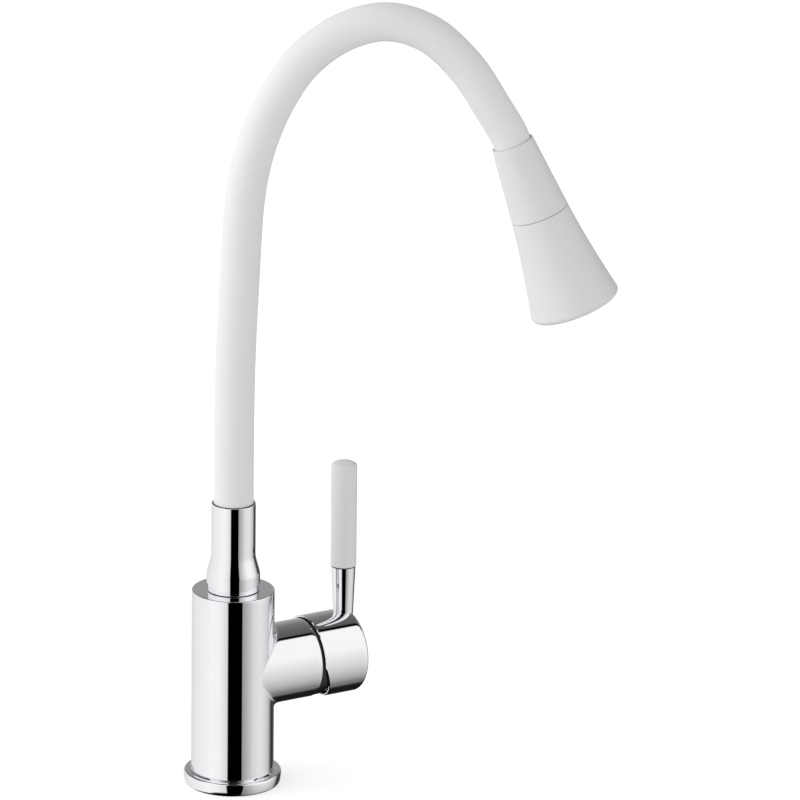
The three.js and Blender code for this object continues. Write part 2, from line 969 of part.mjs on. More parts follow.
function bearingWasher() {
  return tube(
    washerInnerDiameter / 2,
    washerOuterDiameter / 2,
    collarFoot,
    collarFoot + washerHeight,
    boreSegments,
  );
}

// One groove round the spigot, as four profile points from below upwards
function groovePoints(offset, width, depth) {
  const level = grooveLevel(offset);
  return [
    [spigotRadius, level - width / 2],
    [spigotRadius - depth, level - width / 2],
    [spigotRadius - depth, level + width / 2],
    [spigotRadius, level + width / 2],
  ];
}

function spoutSpigot() {
  const profile = [
    [spigotBore / 2, spigotFoot],
    [spigotRadius, spigotFoot],
    ...groovePoints(lowerGroove, ringGrooveWidth, ringGrooveDepth),
    ...groovePoints(lockGroove, lockGrooveWidth, lockGrooveDepth),
    ...groovePoints(upperGroove, ringGrooveWidth, ringGrooveDepth),
    [spigotRadius, hoseStart - seatGap],
    [spigotBore / 2, hoseStart - seatGap],
  ];
  return revolve(profile, hiddenSegments);
}

// A ring of round section that fills a groove with clearance all round
function sealRing(level, grooveRadius, outerRadius, sides) {
  const section = (outerRadius - grooveRadius) / 2 - seatGap / 2;
  const middle = (outerRadius + grooveRadius) / 2;
  const profile = [];
  for (let side = 0; side < sides; side += 1) {
    const angle = (2 * Math.PI * side) / sides;
    profile.push([middle + section * Math.cos(angle), level + section * Math.sin(angle)]);
  }
  return revolve(profile, hiddenSegments);
}

function spigotRing(offset) {
  return sealRing(
    grooveLevel(offset),
    spigotRadius - ringGrooveDepth,
    wellRadius,
    sealRingSides,
  );
}

function lockScrew() {
  const tip = spigotRadius - lockGrooveDepth + runningGap;
  const screw = cylinder(
    lockScrewDiameter / 2,
    tip,
    bodyRadius - lockScrewRecess,
    drillSides,
  );
  return alongX(screw).rotateZ(lockScrewBearing).translate(0, 0, grooveLevel(lockGroove));
}

addPiece(tap, 'spout_lock_screw', lockScrew(), steel);
addPiece(tap, 'spout_spigot', spoutSpigot(), brass);
addPiece(tap, 'lower_seal_ring', spigotRing(lowerGroove), rubber);
addPiece(tap, 'upper_seal_ring', spigotRing(upperGroove), rubber);
addPiece(tap, 'bearing_washer', bearingWasher(), innerPlastic);
addPiece(tap, 'spout_collar', spoutCollar(), chrome);

// Middle line of the flexible spout, from inside the collar to inside the head
function spoutLine() {
  const place = (forward, up) => new THREE.Vector3(forward, 0, up);
  const alongHead = (distance) =>
    place(
      headReach + distance * Math.sin(headTilt),
      headTopHeight - distance * Math.cos(headTilt),
    );
  const points = [
    place(0, hoseStart + seatGap),
    place(0, collarTop),
    ...riserShares.map(([forward, up]) =>
      place(forward * headReach, collarTop + up * (crownHeight - collarTop)),
    ),
    ...fallShares.map(([forward, up]) =>
      place(forward * headReach, headTopHeight + up * crownRise),
    ),
    alongHead(-hoseLead),
    alongHead(0),
    alongHead(hoseEntry - seatGap),
  ];
  return new THREE.CatmullRomCurve3(points, false, 'centripetal');
}

function circleLoop(radius, sides) {
  const points = [];
  for (let side = 0; side < sides; side += 1) {
    const angle = (2 * Math.PI * side) / sides;
    points.push(new THREE.Vector2(radius * Math.cos(angle), radius * Math.sin(angle)));
  }
  return points;
}

function hoseAlong(line, diameter, sides, bore, boreSides) {
  const section = new THREE.Shape(circleLoop(diameter / 2, sides));
  section.holes.push(new THREE.Path(circleLoop(bore / 2, boreSides)));
  return new THREE.ExtrudeGeometry(section, { steps: hoseSteps, extrudePath: line });
}

const line = spoutLine();
addPiece(
  tap,
  'hose_cover',
  hoseAlong(line, hoseDiameter, coverSides, hoseBore, coverBoreSides),
  softWhite,
);
addPiece(
  tap,
  'stay_put_arm',
  hoseAlong(line, armDiameter, armSides, armBore, waterHoseSides),
  steel,
);
addPiece(
  tap,
  'water_hose',
  hoseAlong(line, waterHoseDiameter, waterHoseSides, waterHoseBore, waterHoseSides),
  greyRubber,
);

// Spray head, upper half: shell, nipple with its nut, and the fixed core
const headTopRadius = headTopDiameter / 2;
const headSeamRadius = headSeamDiameter / 2;
const headRimRadius = headRimDiameter / 2;
const shelfStart = hoseEntry + nippleFlange + seatGap;
const shelfEnd = shelfStart + shelfHeight;
const nippleRadius = nippleNeckDiameter / 2;

function upperShell() {
  const end = headSeam - seatGap / 2;
  const profile = [
    [hoseRadius + seatGap, 0],
    [headTopRadius - headTopRounding, 0],
    [headTopRadius, headTopRounding],
    [headSeamRadius, end - headSeamChamfer],
    [headSeamRadius - headSeamChamfer, end],
    [headSeamRadius - upperWall, end],
    [headTopRadius - upperWall + seatGap, shelfEnd],
    [nippleRadius + seatGap, shelfEnd],
    [nippleRadius + seatGap, shelfStart],
    [hoseRadius + seatGap, shelfStart],
  ];
  return revolve(profile, visibleSegments);
}

function headNipple() {
  const top = hoseEntry;
  const profile = [
    [nippleBore / 2, top],
    [nippleFlangeDiameter / 2, top],
    [nippleFlangeDiameter / 2, top + nippleFlange],
    [nippleRadius, top + nippleFlange],
    [nippleRadius, top + nippleFlange + nippleLength],
    [nippleBore / 2, top + nippleFlange + nippleLength],
  ];
  return revolve(profile, hiddenSegments);
}

// Six-sided nut that clamps the shell's shelf against the nipple's flange
function nippleNut() {
  const from = shelfEnd + seatGap;
  const to = from + nippleNutHeight;
  const block = cylinder(nippleNutWidth / 2, from, to, nutSides);
  return cut(
    block,
    cylinder(nippleRadius + seatGap, from - overrun, to + overrun, hiddenSegments),
  );
}

function waterCore() {
  const radius = coreDiameter / 2;
  const groove = coreStart + coreGroove;
  const floor = radius - ringGrooveDepth;
  const profile = [
    [coreBore / 2, coreStart],
    [radius, coreStart],
    [radius, groove - ringGrooveWidth / 2],
    [floor, groove - ringGrooveWidth / 2],
    [floor, groove + ringGrooveWidth / 2],
    [radius, groove + ringGrooveWidth / 2],
    [radius, coreEnd],
    [coreBore / 2, coreEnd],
  ];
  return revolve(profile, hiddenSegments);
}

addPiece(sprayHead, 'head_upper_shell', upperShell(), mattWhite);
addPiece(sprayHead, 'head_nipple', headNipple(), brass);
addPiece(sprayHead, 'nipple_nut', nippleNut(), brass);
addPiece(sprayHead, 'water_core', waterCore(), innerPlastic);

// Spray head, lower half: flared shell, selector disc, nozzle mat, face and aerator
function flareRadius(share) {
  const eased = headFlareShare * share * share + (1 - headFlareShare) * share;
  return headSeamRadius + (headRimRadius - headSeamRadius) * eased;
}

function flarePoints(from, to, inset, steps) {
  const points = [];
  for (let step = 0; step <= steps; step += 1) {
    const level = from + ((to - from) * step) / steps;
    points.push([flareRadius((level - headSeam) / (headLength - headSeam)) - inset, level]);
  }
  return points;
}

const matBack = faceStart - seatGap - nozzleMatHeight;
const facePocketRadius = flarePoints(matBack, headLength, lowerWall, 1)[0][0];
const coreSleeveRadius = coreDiameter / 2 + seatGap;
const sleeveEnd = coreEnd - coreStand;
const [[cavityRadius]] = flarePoints(sleeveEnd, headLength, 2 * lowerWall, 1);

function lowerShell() {
  const start = headSeam + seatGap / 2;
  const neckRadius = headSeamRadius - upperWall - 2 * seatGap;
  const rimStart = headLength - headRimRounding;
  const flare = flarePoints(start + headSeamChamfer, rimStart, 0, headFlareSteps);
  const rimRadius = flare[headFlareSteps][0];
  const profile = [
    [coreSleeveRadius, start - neckHeight],
    [neckRadius - neckWall / 2, start - neckHeight],
    [neckRadius, start],
    [headSeamRadius - headSeamChamfer, start],
    ...flare,
    ...roundedCorner(
      rimRadius - headRimRounding,
      rimStart,
      headRimRounding,
      0,
      Math.PI / 2,
    ).slice(1),
    [facePocketRadius, headLength],
    [facePocketRadius, matBack - seatGap],
    ...flarePoints(sleeveEnd, matBack - pocketLedge, 2 * lowerWall, 2).reverse(),
    [coreSleeveRadius, sleeveEnd],
  ];
  return revolve(profile, visibleSegments);
}

function aroundAxis(count, radius, make) {
  const copies = [];
  for (let at = 0; at < count; at += 1) {
    copies.push(make().translate(radius, 0, 0).rotateZ((2 * Math.PI * at) / count));
  }
  return copies;
}

function selectorDisc() {
  const from = coreEnd + seatGap;
  const radius = cavityRadius - seatGap;
  const ports = aroundAxis(selectorPorts, radius * selectorRingShare, () =>
    cylinder(
      selectorPortDiameter / 2,
      from - overrun,
      from + selectorHeight + overrun,
      drillSides,
    ),
  );
  const middle = coreBore / 2;
  return cut(tube(middle, radius, from, from + selectorHeight, hiddenSegments), ...ports);
}

const nozzleRingRadius = facePocketRadius * nozzleRingShare;

// Soft mat whose pips stand out through the holes of the face
function nozzleMat() {
  const from = matBack;
  const top = faceStart - seatGap;
  const tip = faceStart + faceHeight + nozzleStand;
  const mat = tube(faceBoreDiameter / 2, facePocketRadius - seatGap, from, top, boreSegments);
  const pips = aroundAxis(nozzleCount, nozzleRingRadius, () =>
    revolve(
      [
        [0, top - overrun],
        [nozzleBaseDiameter / 2, top - overrun],
        [nozzleBaseDiameter / 2, top + seatGap],
        [nozzleTipDiameter / 2, tip],
        [0, tip],
      ],
      nozzleSides,
    ),
  );
  return join(mat, ...pips);
}

function facePlate() {
  const plate = tube(
    faceBoreDiameter / 2,
    facePocketRadius - seatGap,
    faceStart,
    faceStart + faceHeight,
    boreSegments,
  );
  const holes = aroundAxis(nozzleCount, nozzleRingRadius, () =>
    cylinder(
      nozzleBaseDiameter / 2 + 2 * seatGap,
      faceStart - overrun,
      faceStart + faceHeight + overrun,
      nozzleSides,
    ),
  );
  return cut(plate, ...holes);
}

function aeratorBody() {
  const end = faceStart + faceHeight;
  const radius = aeratorDiameter / 2;
  const profile = [
    [coreBore / 2, end - aeratorLength],
    [radius, end - aeratorLength],
    [radius, end],
    [radius - aeratorWall, end],
    [radius - aeratorWall, end - aeratorLength + aeratorWall],
    [coreBore / 2, end - aeratorLength + aeratorWall],
  ];
  return revolve(profile, hiddenSegments);
}

// Crossed bars in a rim, just inside the mouth of the aerator
function aeratorScreen() {
  const end = faceStart + faceHeight - screenRecess;
  const from = end - screenHeight;
  const radius = aeratorDiameter / 2 - aeratorWall - seatGap;
  const rim = tube(radius - screenBarWidth, radius, from, end, hiddenSegments);
  const reach = radius - screenBarWidth / 2;
  const bars = [];
  for (let at = 0; at < screenBars; at += 1) {
    const bar = box(2 * reach, screenBarWidth, from, end);
    bars.push(bar.rotateZ((at * Math.PI) / screenBars));
  }
  return join(rim, ...bars);
}

addPiece(sprayHead, 'head_lower_shell', lowerShell(), mattWhite);
addPiece(sprayHead, 'selector_disc', selectorDisc(), innerPlastic);
addPiece(sprayHead, 'nozzle_mat', nozzleMat(), greyRubber);
addPiece(sprayHead, 'face_plate', facePlate(), innerPlastic);
addPiece(sprayHead, 'aerator_body', aeratorBody(), innerPlastic);
addPiece(sprayHead, 'aerator_screen', aeratorScreen(), steel);

export default tap;
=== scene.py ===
# %% [markdown]
# # Dressing a kitchen mixer tap
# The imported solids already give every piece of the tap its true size, place and motion.
# This lesson puts a finished skin over them: turned and blended chrome, a soft white arch
# and a matt spray head. Each step says what the piece is on the real tap, how it could be
# made, and why it is made this way here.

# %% Load the solids as a fixed frame
import json
import math
import bpy
import bmesh
from mathutils import Matrix, Vector


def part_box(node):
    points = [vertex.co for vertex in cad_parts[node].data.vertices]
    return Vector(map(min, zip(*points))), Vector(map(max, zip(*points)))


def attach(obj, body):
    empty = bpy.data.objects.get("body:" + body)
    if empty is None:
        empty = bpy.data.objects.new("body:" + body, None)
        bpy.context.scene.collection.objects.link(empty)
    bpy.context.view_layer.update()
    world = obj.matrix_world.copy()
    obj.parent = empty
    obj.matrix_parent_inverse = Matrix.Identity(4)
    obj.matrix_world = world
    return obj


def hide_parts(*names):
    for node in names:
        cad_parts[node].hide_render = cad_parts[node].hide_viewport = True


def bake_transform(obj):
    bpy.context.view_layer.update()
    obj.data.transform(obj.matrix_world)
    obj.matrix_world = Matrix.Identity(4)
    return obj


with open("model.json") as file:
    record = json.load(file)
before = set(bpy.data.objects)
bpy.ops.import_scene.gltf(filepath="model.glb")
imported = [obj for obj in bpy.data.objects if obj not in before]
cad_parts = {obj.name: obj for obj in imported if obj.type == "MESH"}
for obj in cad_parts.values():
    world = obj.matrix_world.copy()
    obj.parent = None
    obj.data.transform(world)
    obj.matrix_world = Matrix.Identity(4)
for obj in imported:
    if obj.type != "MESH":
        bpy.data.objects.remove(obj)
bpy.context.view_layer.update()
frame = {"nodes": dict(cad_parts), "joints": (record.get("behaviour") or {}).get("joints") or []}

# %% [markdown]
# ## The camera
# The picture was taken from far away with a long lens, a little above the tap, so that
# upright lines stay nearly parallel. Such a camera is set by four facts: the point that it
# looks at, how wide its view is there, how high it stands, and its slight roll. The distance
# then follows from the lens, and nothing has to be tried out by hand.

# %% Place the camera
SENSOR_WIDTH = 0.036
LENS_LENGTH = 0.35
VIEW_WIDTH = 0.454
CAMERA_HEIGHT_ANGLE = math.radians(17.9)
CAMERA_ROLL = math.radians(0.68)
LOOK_AT = Vector((0.0941, 0.0, 0.2317))

camera_data = bpy.data.cameras.new("portrait_camera")
camera_data.sensor_width = SENSOR_WIDTH * 1000
camera_data.lens = LENS_LENGTH * 1000
camera = bpy.data.objects.new("portrait_camera", camera_data)
bpy.context.scene.collection.objects.link(camera)
bpy.context.scene.camera = camera
camera_distance = LENS_LENGTH / SENSOR_WIDTH * VIEW_WIDTH
towards_camera = Vector((0, -math.cos(CAMERA_HEIGHT_ANGLE), math.sin(CAMERA_HEIGHT_ANGLE)))
aim = (-towards_camera).to_track_quat("-Z", "Y").to_matrix().to_4x4()
standpoint = Matrix.Translation(LOOK_AT + towards_camera * camera_distance)
camera.matrix_world = standpoint @ aim @ Matrix.Rotation(CAMERA_ROLL, 4, "Z")
print("camera distance in metres:", round(camera_distance, 3))

# %% [markdown]
# ## Shader maths as arithmetic
# A material is a graph of small nodes. Wiring them by hand hides the idea, so one class wraps
# a socket and lets Python's own signs add the Math nodes. A second class holds the graph and
# has a single method for every other node: its settings go in first, then its inputs.

# %% Wrap sockets and node trees
class Wire:
    """One socket's value, ready to take part in sums."""

    def __init__(self, recipe, socket):
        self.recipe = recipe
        self.socket = socket

    def maths(self, operation, first, second):
        settings = {"operation": operation}
        return self.recipe.node("ShaderNodeMath", settings, {0: first, 1: second})

    def __add__(self, other):
        return self.maths("ADD", self, other)

    def __radd__(self, other):
        return self.maths("ADD", other, self)

    def __sub__(self, other):
        return self.maths("SUBTRACT", self, other)

    def __rsub__(self, other):
        return self.maths("SUBTRACT", other, self)

    def __mul__(self, other):
        return self.maths("MULTIPLY", self, other)

    def __rmul__(self, other):
        return self.maths("MULTIPLY", other, self)


class Recipe:
    """A node tree with one way to add a node."""

    def __init__(self, tree):
        self.tree = tree
        self.tree.nodes.clear()

    def node(self, kind, settings=None, inputs=None, output=0):
        made = self.tree.nodes.new(kind)
        for name, value in (settings or {}).items():
            if name == "stops":
                self.set_stops(made.color_ramp, value)
            else:
                setattr(made, name, value)
        for name, value in (inputs or {}).items():
            if isinstance(value, Wire):
                self.tree.links.new(value.socket, made.inputs[name])
            else:
                made.inputs[name].default_value = value
        return Wire(self, made.outputs[output]) if made.outputs else None

    def set_stops(self, ramp, stops):
        while len(ramp.elements) < len(stops):
            ramp.elements.new(1.0)
        for element, (position, colour) in zip(ramp.elements, stops):
            element.position = position
            element.color = (*colour, 1.0)


def grey(level):
    return (level, level, level)


print("shader helpers ready")

# %% [markdown]
# ## The studio
# Chrome has no colour of its own and shows the room. The picture's room can be read from its
# reflections: a bright tent in front and to the left, a dark upright slot where the camera
# stands, a tent side that fades on the right, a dark line where the tent ends, and a grey
# wall behind. Low in front a dark patch shows at the bottom of the foot ring. All of that is a
# function of direction, so it goes into the world. The camera itself sees plain white.

# %% Paint the room by direction
TURN = 2 * math.pi
world = bpy.data.worlds.new("photo_tent")
bpy.context.scene.world = world
world.use_nodes = True
room = Recipe(world.node_tree)
direction = room.node("ShaderNodeTexCoord", output="Generated")
axes = room.node("ShaderNodeSeparateXYZ", None, {0: direction}).socket.node.outputs
sideways, backward, upward = (Wire(room, axes[name]) for name in "XYZ")

# Bearings in degrees from the camera's side, positive to the right, with the brightness there.
TENT_BY_BEARING = [
    (-180, 0.70), (-148, 0.78), (-120, 0.87), (-85, 0.93), (-58, 0.99), (-40, 0.97),
    (-29, 0.90), (-23, 0.83), (-18, 0.78), (-14, 0.74), (-11.5, 0.0), (27.4, 0.0),
    (28, 0.33), (45, 0.53), (62, 0.76), (81, 0.83), (180, 0.83),
]
# Brightness of the tent's right side by height, from straight down at -1 to level at 0.
RIGHT_BY_HEIGHT = [
    (-0.95, 0.2), (-0.862, 0.26), (-0.835, 0.356), (-0.792, 0.469), (-0.678, 0.655),
    (-0.535, 0.81), (-0.374, 0.95), (-0.3, 1.0), (0.0, 1.2), (0.3, 1.32),
]
# How the tent's right side dies away towards the back.
RIGHT_BY_DEPTH = [
    (-0.05, 1.0), (0.124, 0.94), (0.194, 0.90), (0.267, 0.86), (0.34, 0.80), (0.416, 0.73),
    (0.492, 0.60), (0.55, 0.42), (0.60, 0.24), (0.65, 0.10), (0.72, 0.04), (0.80, 0.06),
    (0.87, 0.14), (0.95, 0.45),
]
# The wall behind, by height, and then the pairs between which one part of the room fades into
# the next, each a height, a depth or a distance to the side of the direction.
WALL_BY_HEIGHT = [(0.3, 0.34), (0.5, 0.22), (0.75, 0.15), (0.9, 0.1)]
TENT_END = (0.17, 0.11)
WALL_START = (0.22, 0.30)
RIGHT_HALF = (-0.03, 0.07)
UNDER_START = (-0.62, -0.78)
UNDER_DEPTH = (0.17, 0.36)
UNDER_BLACK = 0.93
UPPER_HALF = (-0.05, 0.15)
UPPER_DROP = 1.5
OVERHEAD = (0.6, 0.8)
OVERHEAD_LEVEL = 0.05
ZENITH = (0.9, 0.95)
ZENITH_BLACK = 0.93
FOOT_SPOT_MIDDLE = (-0.20, 0.0)
FOOT_SPOT_SIZE = (0.50, 0.78)
FOOT_SPOT_EDGE = (1.0, 0.85)
FOOT_SPOT_START = (-0.62, -0.70)


def smooth_step(recipe, value, low, high):
    settings = {"interpolation_type": "SMOOTHSTEP"}
    inputs = {"Value": value, "From Min": low, "From Max": high}
    return recipe.node("ShaderNodeMapRange", settings, inputs, "Result")


def looked_up(recipe, value, table, low, high):
    """A number read from a table of (position, level) stops between low and high."""
    top = max(1.0, max(level for _, level in table))
    share = (value - low) * (1 / (high - low))
    stops = [((at - low) / (high - low), grey(level / top)) for at, level in table]
    return recipe.node("ShaderNodeValToRGB", {"stops": stops}, {"Fac": share}, "Color") * top


def between(share, first, second):
    return first + (second - first) * share


bearing = room.node("ShaderNodeMath", {"operation": "ARCTAN2"}, {0: sideways, 1: backward * -1})
degrees = bearing * (360 / TURN)
on_right = smooth_step(room, sideways, *RIGHT_HALF)
aside = sideways * sideways
upper = smooth_step(room, upward - aside * aside * UPPER_DROP, *UPPER_HALF)
overhead = smooth_step(room, upward, *OVERHEAD) * OVERHEAD_LEVEL
tent = looked_up(room, degrees, TENT_BY_BEARING, -180, 180)
tent = room.node("ShaderNodeMath", {"operation": "MAXIMUM"}, {0: tent, 1: overhead})
tent = tent * between(on_right, 1.0, looked_up(room, upward, RIGHT_BY_HEIGHT, -1, 1))
tent = room.node("ShaderNodeMath", {"operation": "MINIMUM"}, {0: tent, 1: 1.0})
low_room = tent * between(on_right, 1.0, looked_up(room, backward, RIGHT_BY_DEPTH, -1, 1))
under_edge = smooth_step(room, upward, *UNDER_START) * smooth_step(room, backward, *UNDER_DEPTH)
low_room = low_room * (1 - under_edge * UNDER_BLACK)
spot_x = (sideways - FOOT_SPOT_MIDDLE[0]) * (1 / FOOT_SPOT_SIZE[0])
spot_y = (backward - FOOT_SPOT_MIDDLE[1]) * (1 / FOOT_SPOT_SIZE[1])
foot_spot = smooth_step(room, spot_x * spot_x + spot_y * spot_y, *FOOT_SPOT_EDGE)
low_room = low_room * (1 - foot_spot * smooth_step(room, upward, *FOOT_SPOT_START))
wall = looked_up(room, upward, WALL_BY_HEIGHT, -1, 1) * smooth_step(room, backward, *WALL_START)
zenith = smooth_step(room, upward, *ZENITH) * ZENITH_BLACK
high_room = between(smooth_step(room, backward, *TENT_END), wall, tent * (1 - zenith))
surroundings = between(upper, low_room, high_room)
print("room painted with", len(TENT_BY_BEARING), "bearings")

# %% [markdown]
# Matt surfaces do not mirror the tent, they only gather its light. They get a calmer version
# of it, brighter from both sides than from the front, brighter from the left than from the
# right, and weaker from above, because the crown of the arch is grey in the picture.

# %% Light the matt surfaces and close the world
SOFT_LEVEL = 0.865
SOFT_SIDES = 0.95
SOFT_LEFT = 0.58
SOFT_ABOVE = 0.5
SOFT_FRONT = 0.1
soft_light = SOFT_LEVEL + aside * SOFT_SIDES - sideways * SOFT_LEFT
soft_light = soft_light - upward * SOFT_ABOVE - backward * SOFT_FRONT
path = room.node("ShaderNodeLightPath").socket.node.outputs
to_camera = Wire(room, path["Is Camera Ray"])
to_mirror = Wire(room, path["Is Glossy Ray"])
strength = between(to_camera, between(to_mirror, soft_light, surroundings), 1.0)
white_light = {"Color": (1.0, 1.0, 1.0, 1.0), "Strength": strength}
background = room.node("ShaderNodeBackground", None, white_light)
room.node("ShaderNodeOutputWorld", None, {"Surface": background})
bpy.context.scene.view_settings.view_transform = "Standard"
print("matt surfaces lit at", SOFT_LEVEL)

# %% [markdown]
# ## The floor
# The tap stands on a plain white surface that has no visible end. A large flat sheet does
# that. It is lit by the room, so the tap's foot still leaves a soft shadow on it, and a little
# glow that only the camera sees lifts the rest to white. Mirrors look past it to the room,
# which is as pale below the horizon as above.

# %% Lay the floor
FLOOR_HALF = 9.0
FLOOR_COLOUR = (0.9, 0.9, 0.9)
FLOOR_GLOW = 0.45


def mixed(recipe, share, first, second):
    """A colour between two others, each a tuple or a wire."""
    made = recipe.node("ShaderNodeMix", {"data_type": "RGBA"}, None, 2)
    inputs = made.socket.node.inputs
    for at, value in ((0, share), (6, first), (7, second)):
        if isinstance(value, Wire):
            recipe.tree.links.new(value.socket, inputs[at])
        else:
            inputs[at].default_value = (*value, 1.0)
    return made


def floor_paint():
    material = bpy.data.materials.new("floor_paint")
    material.use_nodes = True
    recipe = Recipe(material.node_tree)
    place = recipe.node("ShaderNodeTexCoord", output="Object")
    cloud = recipe.node("ShaderNodeTexNoise", None, {"Vector": place, "Scale": 3.0}, "Fac")
    tone = mixed(recipe, cloud * 0.03, FLOOR_COLOUR, grey(0.85))
    paint = recipe.node("ShaderNodeBsdfDiffuse", None, {"Color": tone})
    camera_ray = recipe.node("ShaderNodeLightPath", output="Is Camera Ray")
    glow = recipe.node(
        "ShaderNodeEmission", None, {"Color": (1, 1, 1, 1), "Strength": camera_ray * FLOOR_GLOW}
    )
    both = recipe.node("ShaderNodeAddShader", None, {0: paint, 1: glow})
    recipe.node("ShaderNodeOutputMaterial", None, {"Surface": both})
    return material


floor_mesh = bpy.data.meshes.new("floor")
floor_corners = [(-1, -1), (1, -1), (1, 1), (-1, 1)]
floor_mesh.from_pydata(
    [(FLOOR_HALF * x, FLOOR_HALF * y, 0) for x, y in floor_corners], [], [(0, 1, 2, 3)]
)
floor = bpy.data.objects.new("floor", floor_mesh)
floor_mesh.materials.append(floor_paint())
bpy.context.scene.collection.objects.link(floor)
floor.visible_glossy = False
print("floor laid, metres across:", 2 * FLOOR_HALF)

# %% [markdown]
# ## Metals
# The plated parts are polished to a mirror. A perfect mirror looks drawn, because real
# plating has a trace of waviness from the polishing wheel and a breath of haze that differs
# from place to place. Both are kept far below what the eye reads as rough. The brass and
# steel inside are turned or drawn, so they get fine grooves round their own axis.

# %% Mix the metals
def new_material(name):
    material = bpy.data.materials.new(name)
    material.use_nodes = True
    return material, Recipe(material.node_tree)


def finish_material(recipe, inputs):
    surface = recipe.node("ShaderNodeBsdfPrincipled", None, inputs, "BSDF")
    recipe.node("ShaderNodeOutputMaterial", None, {"Surface": surface})


def noise(recipe, place, scale, detail=2.0):
    inputs = {"Vector": place, "Scale": scale, "Detail": detail}
    return recipe.node("ShaderNodeTexNoise", None, inputs, "Fac")


def bump(recipe, height, strength, distance):
    inputs = {"Strength": strength, "Distance": distance, "Height": height}
    return recipe.node("ShaderNodeBump", None, inputs, "Normal")


def chrome_plate():
    material, recipe = new_material("chrome_plate")
    place = recipe.node("ShaderNodeTexCoord", output="Object")
    haze = noise(recipe, place, 45.0, 3.0)
    waviness = noise(recipe, place, 70.0, 0.0)
    colour = mixed(recipe, haze, (0.93, 0.935, 0.95), (0.90, 0.905, 0.925))
    finish_material(recipe, {
        "Base Color": colour,
        "Metallic": 1.0,
        "Roughness": haze * 0.02 + 0.015,
        "Normal": bump(recipe, waviness, 0.05, 0.0002),
    })
    return material


def turned_metal(name, first, second, roughness):
    material, recipe = new_material(name)
    place = recipe.node("ShaderNodeTexCoord", output="Object")
    grooves = noise(recipe, place, 900.0, 4.0)
    stain = noise(recipe, place, 80.0, 3.0)
    finish_material(recipe, {
        "Base Color": mixed(recipe, stain, first, second),
        "Metallic": 1.0,
        "Roughness": grooves * 0.2 + roughness,
        "Normal": bump(recipe, grooves, 0.15, 0.0001),
    })
    return material


chrome = chrome_plate()
brass = turned_metal("turned_brass", (0.78, 0.62, 0.33), (0.70, 0.53, 0.27), 0.22)
steel = turned_metal("drawn_steel", (0.60, 0.61, 0.63), (0.50, 0.51, 0.53), 0.25)
print("metals:", chrome.name, brass.name, steel.name)

# %% [markdown]
# ## Plastics and rubber
# The stick and the head are moulded in a matt white with a fine spark-eroded grain. The
# arch wears a soft skin that is a touch rougher and scatters light at its edges. The pivot
# cover is a glossy black moulding. Noise at two scales gives each its grain and a slow drift
# in tone, which keeps large pale surfaces from looking like paper.

# %% Mix the plastics and rubbers
def moulded(name, first, second, roughness, grain_scale, grain_depth, extra=None):
    material, recipe = new_material(name)
    place = recipe.node("ShaderNodeTexCoord", output="Object")
    drift = noise(recipe, place, 14.0, 2.0)
    grain = noise(recipe, place, grain_scale, 2.0)
    inputs = {
        "Base Color": mixed(recipe, drift, first, second),
        "Roughness": grain * 0.12 + roughness,
        "Normal": bump(recipe, grain, grain_depth, 0.0001),
    }
    inputs.update(extra or {})
    finish_material(recipe, inputs)
    return material


matt_white = moulded(
    "matt_white", (0.795, 0.80, 0.815), (0.78, 0.785, 0.80), 0.38, 2600.0, 0.12
)
soft_white = moulded(
    "soft_white", (0.845, 0.85, 0.865), (0.83, 0.835, 0.85), 0.56, 1900.0, 0.16,
    {"Sheen Weight": 0.12, "Sheen Roughness": 0.5},
)
black_gloss = moulded(
    "black_gloss", (0.012, 0.012, 0.014), (0.018, 0.018, 0.02), 0.12, 900.0, 0.03
)
black_rubber = moulded(
    "black_rubber", (0.02, 0.02, 0.021), (0.03, 0.03, 0.031), 0.6, 1500.0, 0.2
)
grey_rubber = moulded(
    "grey_rubber", (0.36, 0.37, 0.38), (0.32, 0.33, 0.34), 0.5, 1500.0, 0.15
)
white_ceramic = moulded(
    "white_ceramic", (0.85, 0.84, 0.80), (0.80, 0.79, 0.75), 0.08, 700.0, 0.02
)
inner_plastic = moulded(
    "inner_plastic", (0.62, 0.63, 0.65), (0.58, 0.59, 0.61), 0.38, 1800.0, 0.1
)
print("moulded finishes ready")

# %% [markdown]
# ## Meshes as turned and swept skins
# Nearly every piece of a tap is turned on a lathe, so its shape is one outline spun round
# an axis. A polished surface shows every fault in its mesh, and the usual one is a flat
# face that borrows the tilt of the rounding beside it. Holding points a hair inside both ends
# of each straight stretch stop that. Sizes are in millimetres, as on a drawing, and become
# metres when a piece is made.

# %% Build skins and turn outlines
MM = 0.001
WELD = 0.002
HOLD = 0.12
FINE_TURN = 144
MEDIUM_TURN = 96
COARSE_TURN = 48
ROUND_STEPS = 6
SHARP_ANGLE = math.radians(38)


def sheet(bm, rows, closed_rows=True, closed_stack=False):
    """Adds quads between neighbouring rows of as many points."""
    grid = [[bm.verts.new(point) for point in row] for row in rows]
    stack = list(zip(grid, grid[1:]))
    if closed_stack:
        stack.append((grid[-1], grid[0]))
    for lower, upper in stack:
        count = len(lower)
        for at in range(count if closed_rows else count - 1):
            after = (at + 1) % count
            bm.faces.new((lower[at], lower[after], upper[after], upper[at]))


def make_piece(name, bm, placement, material):
    """Welds the skin, turns it outwards and makes the object in metres."""
    bmesh.ops.remove_doubles(bm, verts=bm.verts, dist=WELD)
    bmesh.ops.recalc_face_normals(bm, faces=bm.faces)
    bm.transform(Matrix.Scale(MM, 4) @ placement)
    for face in bm.faces:
        face.smooth = True
    mesh = bpy.data.meshes.new(name)
    bm.to_mesh(mesh)
    bm.free()
    mesh.set_sharp_from_angle(angle=SHARP_ANGLE)
    mesh.materials.append(material)
    piece = bpy.data.objects.new(name, mesh)
    bpy.context.scene.collection.objects.link(piece)
    return piece


